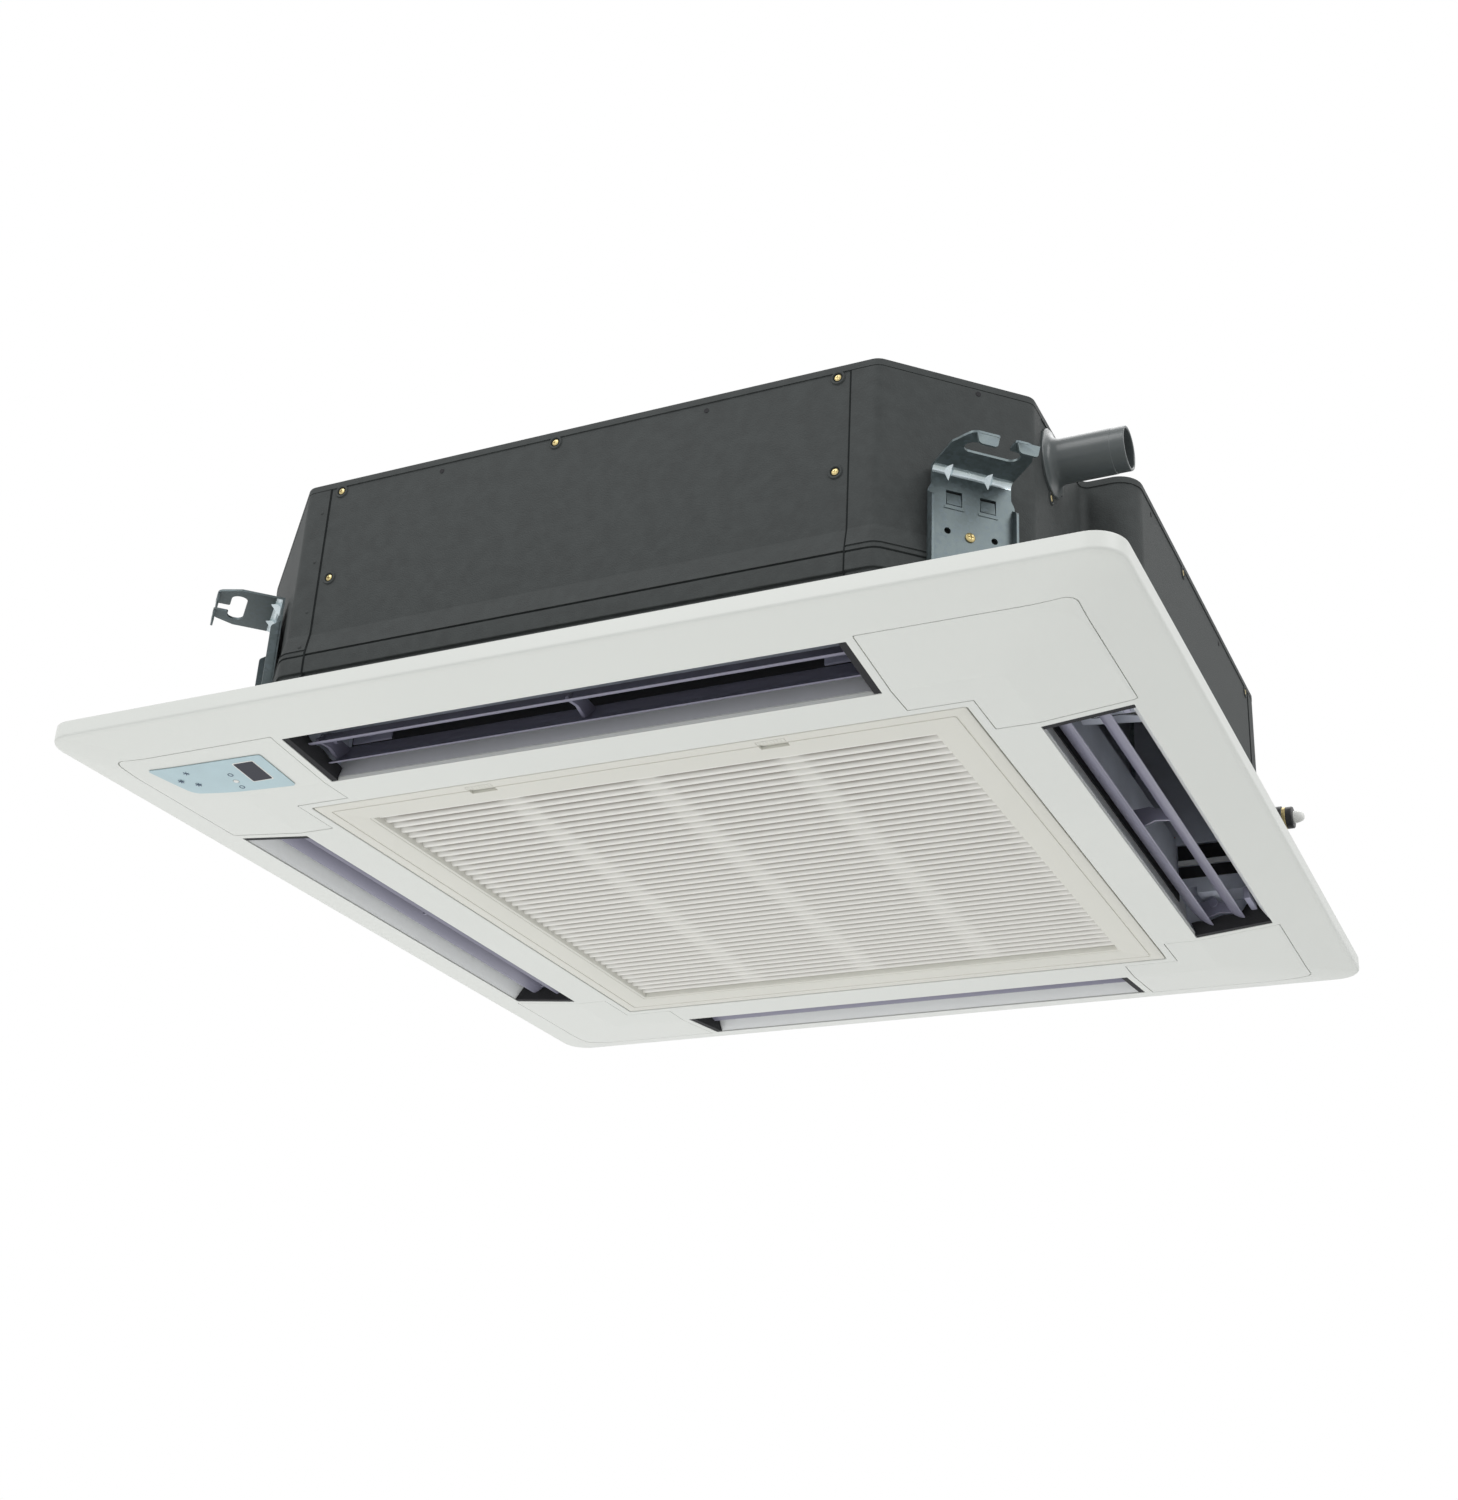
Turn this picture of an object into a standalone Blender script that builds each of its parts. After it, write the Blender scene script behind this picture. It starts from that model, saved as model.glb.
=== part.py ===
"""Four-way ceiling cassette fan coil unit, with its decorative panel, as separate pieces.

Metres, +Z up. The origin is the centre of the ceiling plane, which is the top of the panel's rim: the casing
stands above it inside the ceiling, and the panel hangs below it into the room. The near side is -Y.
"""

import math

import bmesh
import bpy
from mathutils import Matrix, Vector

for leftover in list(bpy.data.objects):
    bpy.data.objects.remove(leftover, do_unlink=True)

# Overall size, general clearance and sheet
PANEL_HALF = 0.475
CASING_TOP = 0.230
GAP = 0.0003
SHEET = 0.0015
ROOT2 = math.sqrt(2)

# Casing: an octagon with a recess for the drain stub in its right side
CASING_HALF = PANEL_HALF - 0.055
CHAMFER_DISTANCE = CASING_HALF * ROOT2 - 0.10327
CASING_BOTTOM = 0.0023
UPPER_INSET = 0.004
BAND_TOP = 0.076
BAND_LOW = 0.057
SKIRT_TOP = 0.038
SKIRT_INSET = 0.0015
BEND_RADIUS = 0.016
RECESS_X = CASING_HALF - 0.048
RECESS_Y = 0.233 - CASING_HALF
RECESS_ROUND = 0.025
LINER_THICKNESS = 0.005
WALL_TOP = CASING_TOP - SHEET - GAP
PAN_INSET = SKIRT_INSET + SHEET + GAP
LINER_INSET = UPPER_INSET + SHEET + GAP

# Drain pan, coil and their pipes
PAN_TOP = 0.060
PAN_OPENING_HALF = CASING_HALF - 0.168
PAN_OPENING_ROUND = 0.030
TROUGH_WALL = 0.005
TROUGH_FLOOR = PAN_TOP - 0.016
COIL_INNER = PAN_OPENING_HALF + 0.010
COIL_DEPTH = 0.040
COIL_BOTTOM = TROUGH_FLOOR + GAP
COIL_TOP = CASING_TOP - 0.016
COIL_END = COIL_INNER - 0.047
COIL_ROUND = 0.045
TUBE_PITCH = 0.025
TUBE_RADIUS = 0.0048
PIPE_RADIUS = 0.009
PIPE_Y = COIL_END + 0.035
RETURN_Z = 0.080
SUPPLY_Z = 0.038
SUPPLY_BEND_X = COIL_INNER + COIL_DEPTH + 0.038
SUPPLY_BEND_Y = PIPE_Y + 0.022
FITTING_LENGTH = 0.044
COLLAR_RADIUS = 0.016

# Drain pump, float, hose and stub, at the chamfer beside the recess
SUMP_DISTANCE = CHAMFER_DISTANCE - 0.0387
SUMP_DEPTH = 0.048
SUMP_START = -0.055
SUMP_END = 0.042
SUMP_FLOOR = 0.030
PUMP_ALONG = -0.026
FLOAT_ALONG = 0.026
PUMP_RADIUS = 0.022
ROTOR_Z = SUMP_FLOOR + 0.012
FLOAT_Z = SUMP_FLOOR + 0.0045
PUMP_OUTLET_Z = 0.0755
STUB_Y = RECESS_Y - 0.086
STUB_Z = CASING_TOP - 0.035
STUB_RADIUS = 0.019
STUB_BORE = 0.0165
STUB_REACH = RECESS_X + 0.062
SPIGOT_RADIUS = 0.009
SPIGOT_LENGTH = 0.018
HOSE_RADIUS = 0.0078
HOSE_BEND = 0.016
HOSE_REACH = 0.030

# Fan
FAN_SHARE = 53 / 105
INLET_SHARE = 163 / 420
FAN_RADIUS = CASING_HALF * FAN_SHARE
FAN_INLET = CASING_HALF * INLET_SHARE
FAN_BOTTOM = 0.0465
FAN_TOP = CASING_TOP - 0.027
FAN_BLADES = 7
FAN_SHEET = 0.0025
BLADE_SWEEP = 12.0
ROOT_RADIUS = FAN_INLET - 0.045
CUP_RADIUS = 0.084
CUP_FLOOR = FAN_TOP - 0.053
MOTOR_RADIUS = CUP_RADIUS - 0.014
MOTOR_DISH_RADIUS = MOTOR_RADIUS + 0.042
MOTOR_DISH_DEPTH = 0.004
SHAFT_RADIUS = 0.005
THROAT_RADIUS = FAN_INLET - 0.005
FLARE_RADIUS = THROAT_RADIUS + 0.018
THROAT_TOP = FAN_BOTTOM - 0.0025

# Electric box, above the inlet plate
BOX_X = (-PAN_OPENING_HALF + 0.002, -FLARE_RADIUS - 0.008)
BOX_HALF = 0.100
BOX_TOP = 0.040

# Decorative panel and its four outlets: half sizes and heights of the visible surface, from rim to opening.
# Along a side, s points outward, t along it and z up.
RIM_HEIGHT = 0.0125
RIM_EASE = 0.0014
SLOPE_HALF = PANEL_HALF - 0.048
FACE_Z = -0.0335
SLOPE_Z = FACE_Z + 0.0075
SLOT_WIDTH = 0.075
SLOT_OUTER = SLOPE_HALF - 0.0013
SLOT_INNER = SLOT_OUTER - SLOT_WIDTH
SLOT_HALF = PANEL_HALF - 0.220
FACE_HALF = SLOT_INNER + 0.0013
OPENING_HALF = SLOT_INNER - 0.0427
SKIN = 0.0035
RIM_WALL = 0.0028
FLANGE_TOP = FACE_Z + 0.0215
FLANGE_WALL = 0.003

# Guides of the outlets and the louvers in them
GUIDE_TOP = 0.002
GUIDE_INNER = SLOT_INNER - 0.0112
ROOF_THICKNESS = 0.0015
RECESS_ROOF_REACH = 0.012
END_WALL = 0.003
DUCT_INNER = SLOT_INNER - 0.0087
DUCT_OUTER = SLOT_OUTER - 0.0142
DUCT_HALF = SLOT_HALF - 0.005
RIGHT_DUCT_END = SLOT_HALF - 0.030
VANE_RELIEF = 0.009
SEAL_THICKNESS = 0.004
LOUVER_HALF = SLOT_HALF - 0.008
PIVOT_S = SLOT_INNER + 0.0213
PIVOT_Z = -0.004
RECESS_ROOF_INNER = PIVOT_S - 0.005
PIN_RADIUS = 0.003
PIN_CLEARANCE = 0.0004
VANE_THICKNESS = 0.002
INNER_VANE_END = DUCT_INNER + 0.004 - PIVOT_S
OUTER_VANE_END = DUCT_OUTER - 0.0105 - PIVOT_S
SWING_MOTOR_RADIUS = 0.012
SWING_MOTOR_LENGTH = 0.018

# Passage of a guide, from the panel's opening up to the duct: its inner and outer walls
INNER_LIP = [(SLOT_INNER + GAP, FACE_Z + SKIN + 0.0005), (DUCT_INNER, -0.012), (DUCT_INNER, 0.006)]
OUTER_LIP = [(DUCT_OUTER, 0.006), (DUCT_OUTER, 0.001), (DUCT_OUTER + 0.0015, -0.005),
             (DUCT_OUTER + 0.0045, -0.0115), (DUCT_OUTER + 0.009, -0.0175), (SLOT_OUTER - GAP, -0.0220)]

# Corner covers and the display on the near left one
COVER_NEAR = SLOT_HALF + 0.007
COVER_FAR = PANEL_HALF - 0.044
COVER_NOTCH = OPENING_HALF + 0.008
COVER_GAP = 0.0005
COVER_THICKNESS = 0.0013
LEDGE = 0.007
LABEL_X = (-COVER_FAR + 0.023, -COVER_FAR + 0.142)
LABEL_Y = (-COVER_FAR + 0.018, -COVER_FAR + 0.075)
BUTTON_X = LABEL_X[0] + 0.070
BUTTON_Y = LABEL_Y[1] - 0.021
BUTTON_RADIUS = 0.0026
BUTTON_TRAVEL = 0.0010
BUTTON_SURFACE = FACE_Z + (SLOPE_Z - FACE_Z) * (-BUTTON_Y - FACE_HALF) / (SLOPE_HALF - FACE_HALF)
BUTTON_TIP = BUTTON_SURFACE - 0.0016
BUTTON_FLANGE_TOP = BUTTON_SURFACE + COVER_THICKNESS + 0.0022
BOARD_Z = FACE_Z + 0.015

# Intake grille
GRILLE_HALF = OPENING_HALF - 0.0015
BORDER_SHEET = 0.0025
HINGE_SIDE_HALF = GRILLE_HALF - 0.001
FIELD_HALF = GRILLE_HALF - 0.039
FIELD_Z = FACE_Z + 0.005
FIELD_DEPTH = 0.0105
SLAT_DEPTH = 0.0078
RIB_DEPTH = 0.0024
SLAT_ROWS = 43
SLAT_LEAN = 0.0060
SLAT_WALL = 0.0042
RIB_X = (-FIELD_HALF / 2, 0.0, FIELD_HALF / 2)
RIB_WIDTH = 0.006
HINGE_Y = HINGE_SIDE_HALF - 0.003
HINGE_Z = FACE_Z + 0.0043
HINGE_PIN = 0.0015
FILTER_HALF = FIELD_HALF - 0.0125

# Latches of the grille: a slider with a knob in the face and a nose that hooks over the panel's flange
LATCH_X = FIELD_HALF - 0.1295
LATCH_WIDTH = 0.034
LATCH_TRAVEL = 0.008
LATCH_SHEET = 0.0018
LATCH_Z = FACE_Z + BORDER_SHEET + GAP
LATCH_FRONT = -GRILLE_HALF + BORDER_SHEET + GAP
LATCH_KNOB_Y = -OPENING_HALF + 0.0085
NOSE_REACH = 0.0018
NOSE_PLAY = 0.0015
NOSE_SLOPE = 2.2

# Hanger brackets
HANGER_SHIFT = -0.0235
HANGER_WIDTH = 0.074
HANGER_SHEET = 0.002
HANGER_TOP = 0.139
HANGER_BOTTOM = 0.006
HANGER_REACH = 0.058
HANGER_SLOT_LENGTH = 0.046
HANGER_SLOT_WIDTH = 0.014
HANGER_SLOT_OUT = 0.038
HANGER_MOUTH = 0.013

# Heights below and above the panel's parts, between which a cutting tool reaches right through it
CUT_LOW = -0.06
CUT_HIGH = 0.0

SIDES = {"right": 0, "far": 90, "left": 180, "near": 270}
CORNERS = {"near_right": (1, 1), "near_left": (-1, 1), "far_right": (1, -1), "far_left": (-1, -1)}

WHITE = ((0.72, 0.72, 0.68), 0.45, 0.0)
BLACK = ((0.018, 0.018, 0.020), 0.6, 0.0)
CHARCOAL = ((0.070, 0.076, 0.075), 0.7, 0.0)
FOAM = ((0.55, 0.56, 0.58), 0.9, 0.0)
VANE = ((0.125, 0.120, 0.150), 0.45, 0.0)
ZINC = ((0.40, 0.46, 0.48), 0.35, 0.9)
ALUMINIUM = ((0.55, 0.56, 0.57), 0.45, 0.9)
COPPER = ((0.62, 0.28, 0.16), 0.3, 1.0)
BRASS = ((0.60, 0.42, 0.16), 0.3, 1.0)
GREY = ((0.20, 0.21, 0.22), 0.5, 0.0)
GREEN = ((0.04, 0.18, 0.08), 0.5, 0.0)
BLUE = ((0.40, 0.54, 0.60), 0.4, 0.0)


def material(name, finish):
    colour, roughness, metallic = finish
    made = bpy.data.materials.new(name)
    made.use_nodes = True
    shader = made.node_tree.nodes["Principled BSDF"]
    shader.inputs["Base Color"].default_value = (*colour, 1.0)
    shader.inputs["Roughness"].default_value = roughness
    shader.inputs["Metallic"].default_value = metallic
    return made


def add_piece(name, bm, finish=None, matrix=None):
    """Makes an object from bm; one with no finish is a tool that only cuts or joins."""
    bmesh.ops.recalc_face_normals(bm, faces=bm.faces[:])
    mesh = bpy.data.meshes.new(name)
    bm.to_mesh(mesh)
    bm.free()
    mesh.shade_smooth()
    mesh.set_sharp_from_angle(angle=math.radians(35))
    piece = bpy.data.objects.new(name, mesh)
    piece.matrix_world = matrix or Matrix()
    bpy.context.scene.collection.objects.link(piece)
    if finish is None:
        piece.hide_render = True
        piece.display_type = "WIRE"
    else:
        mesh.materials.append(material(name, finish))
    return piece


def combine(piece, operation, bm, matrix=None, tool=None):
    """Adds an exact Boolean of piece with bm, placed like the piece unless a matrix is given."""
    if tool is None:
        name = f"{piece.name}_tool_{len(piece.modifiers)}"
        tool = add_piece(name, bm, None, matrix or piece.matrix_world)
    boolean = piece.modifiers.new(operation.lower(), "BOOLEAN")
    boolean.operation = operation
    boolean.solver = "EXACT"
    boolean.object = tool
    return tool


def cut(piece, bm, matrix=None):
    return combine(piece, "DIFFERENCE", bm, matrix)


def join(piece, bm, matrix=None):
    return combine(piece, "UNION", bm, matrix)


def settled_copy(source, name, finish, matrix, mirror=None):
    """A separate object with the source's finished mesh, mirrored by a diagonal matrix if one is given."""
    graph = bpy.context.evaluated_depsgraph_get()
    mesh = bpy.data.meshes.new_from_object(source.evaluated_get(graph))
    mesh.name = name
    if mirror is not None:
        mesh.transform(mirror)
        if mirror.determinant() < 0:
            mesh.flip_normals()
    mesh.materials.clear()
    mesh.materials.append(material(name, finish))
    piece = bpy.data.objects.new(name, mesh)
    piece.matrix_world = matrix
    bpy.context.scene.collection.objects.link(piece)
    return piece


def stack(bm, rings, closed=False):
    """Skins a series of equal rings of points, capping the two ends, or joining them when closed."""
    made = [[bm.verts.new(point) for point in ring] for ring in rings]
    pairs = list(zip(made, made[1:]))
    if closed:
        pairs.append((made[-1], made[0]))
    for lower, upper in pairs:
        for i in range(len(lower)):
            j = (i + 1) % len(lower)
            bm.faces.new((lower[i], lower[j], upper[j], upper[i]))
    if not closed:
        bm.faces.new(made[0])
        bm.faces.new(made[-1])
    return bm


def rings_at(levels):
    """Flat outlines lifted to their heights."""
    return [[(x, y, z) for x, y in outline] for outline, z in levels]


def prism(outline, low, high, bm=None):
    return stack(bm or bmesh.new(), rings_at([(outline, low), (outline, high)]))


def box(low, high, bm=None):
    x0, y0, z0 = low
    x1, y1, z1 = high
    return prism([(x0, y0), (x1, y0), (x1, y1), (x0, y1)], z0, z1, bm)


def side_prism(section, start, end, bm=None):
    """Extrudes a section of (s, z) points along t."""
    rings = [[(s, t, z) for s, z in section] for t in (start, end)]
    return stack(bm or bmesh.new(), rings)


def rounded_polygon(corners, steps=3):
    """A closed outline through (x, y, radius) corners; a square corner's arc has this many steps."""
    points = []
    for i, (x, y, radius) in enumerate(corners):
        if radius == 0:
            points.append((x, y))
            continue
        corner = Vector((x, y))
        back = (Vector(corners[i - 1][:2]) - corner).normalized()
        ahead = (Vector(corners[(i + 1) % len(corners)][:2]) - corner).normalized()
        half = back.angle(ahead) / 2
        centre = corner + (back + ahead).normalized() * (radius / math.sin(half))
        start = corner + back * (radius / math.tan(half)) - centre
        end = corner + ahead * (radius / math.tan(half)) - centre
        turn = math.copysign(start.angle(end), start.x * end.y - start.y * end.x)
        facets = max(1, math.ceil(steps * abs(turn) / math.radians(95)))
        for k in range(facets + 1):
            angle = turn * k / facets
            points.append((centre.x + start.x * math.cos(angle) - start.y * math.sin(angle),
                           centre.y + start.x * math.sin(angle) + start.y * math.cos(angle)))
    return points


def rounded_square(half, radius, steps=3):
    return rounded_polygon([(half, -half, radius), (half, half, radius),
                            (-half, half, radius), (-half, -half, radius)], steps)


def rounded_box(x0, y0, x1, y1, radius, steps=3):
    return rounded_polygon([(x0, y0, radius), (x1, y0, radius), (x1, y1, radius), (x0, y1, radius)], steps)


def circle(radius, segments, x=0.0, y=0.0, start=0.0):
    """Points round a circle, turned by a share of one segment."""
    angles = [math.tau * (i + start) / segments for i in range(segments)]
    return [(x + radius * math.cos(angle), y + radius * math.sin(angle)) for angle in angles]


def lathe(profile, segments, bm=None):
    """Turns a closed profile of (radius, z) points about Z; a radius of 0 is a point on the axis."""
    bm = bm or bmesh.new()
    rings = []
    for radius, z in profile:
        if radius == 0:
            rings.append([bm.verts.new((0, 0, z))])
        else:
            rings.append([bm.verts.new((x, y, z)) for x, y in circle(radius, segments)])
    pairs = list(zip(rings, rings[1:]))
    if len(rings[0]) > 1 and len(rings[-1]) > 1:
        pairs.append((rings[-1], rings[0]))
    for first, second in pairs:
        if len(first) == 1 and len(second) == 1:
            continue
        for i in range(segments):
            j = (i + 1) % segments
            corners = [first[i % len(first)], first[j % len(first)],
                       second[j % len(second)], second[i % len(second)]]
            bm.faces.new(list(dict.fromkeys(corners)))
    return bm


def rod(start, end, radius, segments=10, bm=None):
    """A round bar between two points."""
    bm = bm or bmesh.new()
    start, end = Vector(start), Vector(end)
    turn = (end - start).to_track_quat("Z", "Y").to_matrix()
    around = [turn @ Vector((x, y, 0)) for x, y in circle(radius, segments)]
    return stack(bm, [[centre + point for point in around] for centre in (start, end)])


def tube(points, radius, segments, bm=None):
    """A round bar along a series of points."""
    bm = bm or bmesh.new()
    points = [Vector(point) for point in points]
    normal = (points[1] - points[0]).orthogonal().normalized()
    rings = []
    for i, point in enumerate(points):
        direction = (points[min(i + 1, len(points) - 1)] - points[max(i - 1, 0)]).normalized()
        normal = (normal - direction * normal.dot(direction)).normalized()
        across = direction.cross(normal)
        rings.append([point + normal * x + across * y for x, y in circle(radius, segments)])
    return stack(bm, rings)


def bent_route(points, radius, steps=2):
    """The points of a route with an elbow in place of each inner point."""
    points = [Vector(point) for point in points]
    route = [points[0]]
    for before, corner, after in zip(points, points[1:], points[2:]):
        back = (before - corner).normalized()
        ahead = (after - corner).normalized()
        half = back.angle(ahead) / 2
        start = corner + back * (radius / math.tan(half))
        centre = corner + (back + ahead).normalized() * (radius / math.sin(half))
        first = start - centre
        second = corner + ahead * (radius / math.tan(half)) - centre
        for k in range(steps + 1):
            turn = Matrix.Rotation(first.angle(second) * k / steps, 3, first.cross(second))
            route.append(centre + turn @ first)
    return route + [points[-1]]


def rectangle(low_s, high_s, low_t, high_t):
    return [(low_s, low_t), (high_s, low_t), (high_s, high_t), (low_s, high_t)]


def on_side(side, corners):
    """Points of s outward and t along a side, as world x and y."""
    turn = Matrix.Rotation(math.radians(SIDES[side]), 2)
    return [tuple(turn @ Vector(corner)) for corner in corners]


def side_matrix(side, s=0.0, z=0.0):
    turn = Matrix.Rotation(math.radians(SIDES[side]), 4, "Z")
    return turn @ Matrix.Translation((s, 0, z))


def toward_x(x, y, z):
    """A frame whose Z axis points along world +X."""
    return Matrix.Translation((x, y, z)) @ Matrix.Rotation(math.radians(90), 4, "Y")


def chamfer_frame(distance, along):
    """World point at a distance out from the centre and along the near right chamfer."""
    return ((distance + along) / ROOT2, (along - distance) / ROOT2)


def chamfer_matrix():
    """A frame with X out through the near right chamfer, Y along it toward +X and Z up."""
    return Matrix.Rotation(math.radians(-45), 4, "Z")


# Casing

def octagon(inset):
    half = CASING_HALF - inset
    reach = (CHAMFER_DISTANCE - inset) * ROOT2
    bend = BEND_RADIUS - inset
    recess = RECESS_X - inset
    return rounded_polygon([
        (recess, RECESS_Y + inset, 0.004 + inset), (half, RECESS_Y + inset, RECESS_ROUND - inset),
        (half, reach - half, bend), (reach - half, half, bend), (half - reach, half, bend),
        (-half, reach - half, bend), (-half, half - reach, bend), (half - reach, -half, bend),
        (reach - half, -half, bend), (recess, recess - reach, bend)], 2)


def wall_holes(pipe_heights):
    """Round bars where the drain's spigot and the water pipes pass the casing's right side."""
    clear = 2 * GAP
    holes = rod((RECESS_X - 0.030, STUB_Y, STUB_Z), (RECESS_X + 0.010, STUB_Y, STUB_Z), SPIGOT_RADIUS + clear)
    for z in pipe_heights:
        start = (CASING_HALF - 0.030, PIPE_Y, z)
        rod(start, (CASING_HALF + 0.010, PIPE_Y, z), PIPE_RADIUS + clear, 12, holes)
    return holes


def build_casing_wall():
    """Folded sheet: upper wall, a band that flares out and a skirt that steps in."""
    outer = [(UPPER_INSET, WALL_TOP), (UPPER_INSET, BAND_TOP), (0.0, BAND_LOW), (0.0, SKIRT_TOP),
             (SKIRT_INSET, SKIRT_TOP - SKIRT_INSET), (SKIRT_INSET, CASING_BOTTOM)]
    inner = [(inset + SHEET, z) for inset, z in reversed(outer)]
    rings = rings_at([(octagon(inset), z) for inset, z in outer + inner])
    wall = add_piece("casing_wall", stack(bmesh.new(), rings, True), CHARCOAL)
    cut(wall, wall_holes((RETURN_Z, SUPPLY_Z)))


def build_top_plate():
    """Flat lid with a pressed dish that carries the fan motor."""
    plate = add_piece("top_plate", prism(octagon(UPPER_INSET), CASING_TOP - SHEET, CASING_TOP), CHARCOAL)
    low = CASING_TOP - SHEET - MOTOR_DISH_DEPTH
    wide = MOTOR_DISH_RADIUS + 0.008
    inside = CASING_TOP - 0.001
    above = CASING_TOP + 0.002
    join(plate, lathe([(0, low), (MOTOR_DISH_RADIUS, low), (wide, inside), (0, inside)], 24))
    cut(plate, lathe([(0, low + SHEET), (MOTOR_DISH_RADIUS - 0.001, low + SHEET), (wide + 0.001, above),
                      (0, above)], 24))


def build_casing_liner():
    """Insulating sheet that stands on the drain pan, all round inside the upper wall."""
    low = PAN_TOP + GAP
    inner = LINER_INSET + LINER_THICKNESS
    section = [(LINER_INSET, low), (LINER_INSET, WALL_TOP), (inner, WALL_TOP), (inner, low)]
    rings = rings_at([(octagon(inset), z) for inset, z in section])
    liner = add_piece("casing_liner", stack(bmesh.new(), rings, True), FOAM)
    cut(liner, wall_holes((RETURN_Z,)))


# Drain pan

def duct_boxes(low, high):
    """Four ducts from the coil space to the outlets; the right one clears the recess and the pipes."""
    bm = bmesh.new()
    for side in SIDES:
        if side == "right":
            clear = RECESS_X - PAN_INSET - 0.006
            corners = [(DUCT_INNER, -DUCT_HALF), (clear, -DUCT_HALF), (clear, RECESS_Y + 0.012),
                       (DUCT_OUTER, RECESS_Y + 0.022), (DUCT_OUTER, RIGHT_DUCT_END),
                       (DUCT_INNER, RIGHT_DUCT_END)]
        else:
            corners = rectangle(DUCT_INNER, DUCT_OUTER, -DUCT_HALF, DUCT_HALF)
        prism(on_side(side, corners), low, high, bm)
    return bm


def build_drain_pan():
    """Moulded foam pan: it catches the coil's water and holds the four outlet ducts."""
    pan = add_piece("drain_pan", prism(octagon(PAN_INSET), CASING_BOTTOM, PAN_TOP), FOAM)
    below, above = CASING_BOTTOM - 0.01, PAN_TOP + 0.01
    cut(pan, prism(rounded_square(PAN_OPENING_HALF, PAN_OPENING_ROUND), below, above))
    cut(pan, duct_boxes(below, above))
    relief = box((DUCT_INNER, RIGHT_DUCT_END - 0.010, below), (PIVOT_S - 0.012, DUCT_HALF, VANE_RELIEF))
    cut(pan, relief)
    trough_in = PAN_OPENING_HALF + TROUGH_WALL
    trough_out = COIL_INNER + COIL_DEPTH + 0.005
    outer_ring = rounded_square(trough_out, COIL_ROUND)
    inner_ring = rounded_square(trough_in, 0.012)
    rings = [(outer_ring, TROUGH_FLOOR), (outer_ring, above), (inner_ring, above), (inner_ring, TROUGH_FLOOR)]
    cut(pan, stack(bmesh.new(), rings_at(rings), True))
    near = SUMP_DISTANCE - SUMP_DEPTH / 2
    far = SUMP_DISTANCE + SUMP_DEPTH / 2
    sump = [(near, SUMP_START, 0.012), (far, SUMP_START, 0.012), (far, SUMP_END - 0.012, 0.008),
            (far - 0.012, SUMP_END, 0.008), (near, SUMP_END, 0.012)]
    cut(pan, prism(rounded_polygon(sump, 2), SUMP_FLOOR, above), chamfer_matrix())
    spill = box((near - 0.024, -0.012, TROUGH_FLOOR - 0.004), (near + 0.002, 0.012, above))
    cut(pan, spill, chamfer_matrix())
    room = PIPE_RADIUS + 0.003
    start_x = SUPPLY_BEND_X - room
    bend_end = SUPPLY_BEND_X + room
    outside = CASING_HALF + 0.01
    pocket = [(start_x, PIPE_Y - room), (outside, PIPE_Y - room), (outside, PIPE_Y + room),
              (bend_end, PIPE_Y + room), (bend_end, SUPPLY_BEND_Y + room), (start_x, SUPPLY_BEND_Y + room)]
    cut(pan, prism(pocket, SUPPLY_Z - room, above))
    room = SWING_MOTOR_RADIUS + 0.003
    start = SLOT_HALF + END_WALL - 0.002
    end = SLOT_HALF + END_WALL + SWING_MOTOR_LENGTH + 0.004
    pockets = bmesh.new()
    for side in SIDES:
        corners = rectangle(PIVOT_S - room, PIVOT_S + room, start, end)
        prism(on_side(side, corners), below, PIVOT_Z + room, pockets)
    cut(pan, pockets)


# Coil and pipes

def build_coil():
    """Finned block that goes round the fan and stays open at the pipe corner."""
    outer = COIL_INNER + COIL_DEPTH
    outline = rounded_polygon([
        (COIL_END, outer, 0), (-outer, outer, COIL_ROUND - 0.005), (-outer, -outer, COIL_ROUND - 0.005),
        (outer, -outer, COIL_ROUND - 0.005), (outer, COIL_END, 0), (COIL_INNER, COIL_END, 0),
        (COIL_INNER, -COIL_INNER, 0.008), (-COIL_INNER, -COIL_INNER, 0.008), (-COIL_INNER, COIL_INNER, 0.008),
        (COIL_END, COIL_INNER, 0)], 3)
    add_piece("coil_fins", prism(outline, COIL_BOTTOM, COIL_TOP), ALUMINIUM)


def return_bend(bm, x, y, z):
    """Half a turn of tube that joins two rows of the coil, out along +Y."""
    radius = TUBE_PITCH / 2
    stem = y + 0.003
    route = [(x, y - 0.0008, z - radius)]
    for k in range(5):
        angle = math.pi * k / 4
        route.append((x, stem + radius * math.sin(angle), z - radius * math.cos(angle)))
    route.append((x, y - 0.0008, z + radius))
    tube(route, TUBE_RADIUS, 6, bm)


def build_coil_plate(name, swap):
    """Tube plate at one end of the coil, with its return bends."""
    turn = Matrix(((0, 1, 0, 0), (1, 0, 0, 0), (0, 0, 1, 0), (0, 0, 0, 1))) if swap else Matrix()
    start = COIL_END + GAP
    plate = box((COIL_INNER - 0.004, start, COIL_BOTTOM),
                (COIL_INNER + COIL_DEPTH + 0.004, start + SHEET, COIL_TOP))
    bends = bmesh.new()
    rows = int((COIL_TOP - COIL_BOTTOM) / (2 * TUBE_PITCH))
    for k in range(rows):
        z = COIL_BOTTOM + TUBE_PITCH * (2 * k + 1)
        return_bend(bends, COIL_INNER + COIL_DEPTH * 0.25, start + SHEET, z)
    for bm in (plate, bends):
        bmesh.ops.transform(bm, matrix=turn, verts=bm.verts[:])
    join(add_piece(name, plate, COPPER), bends)


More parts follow.
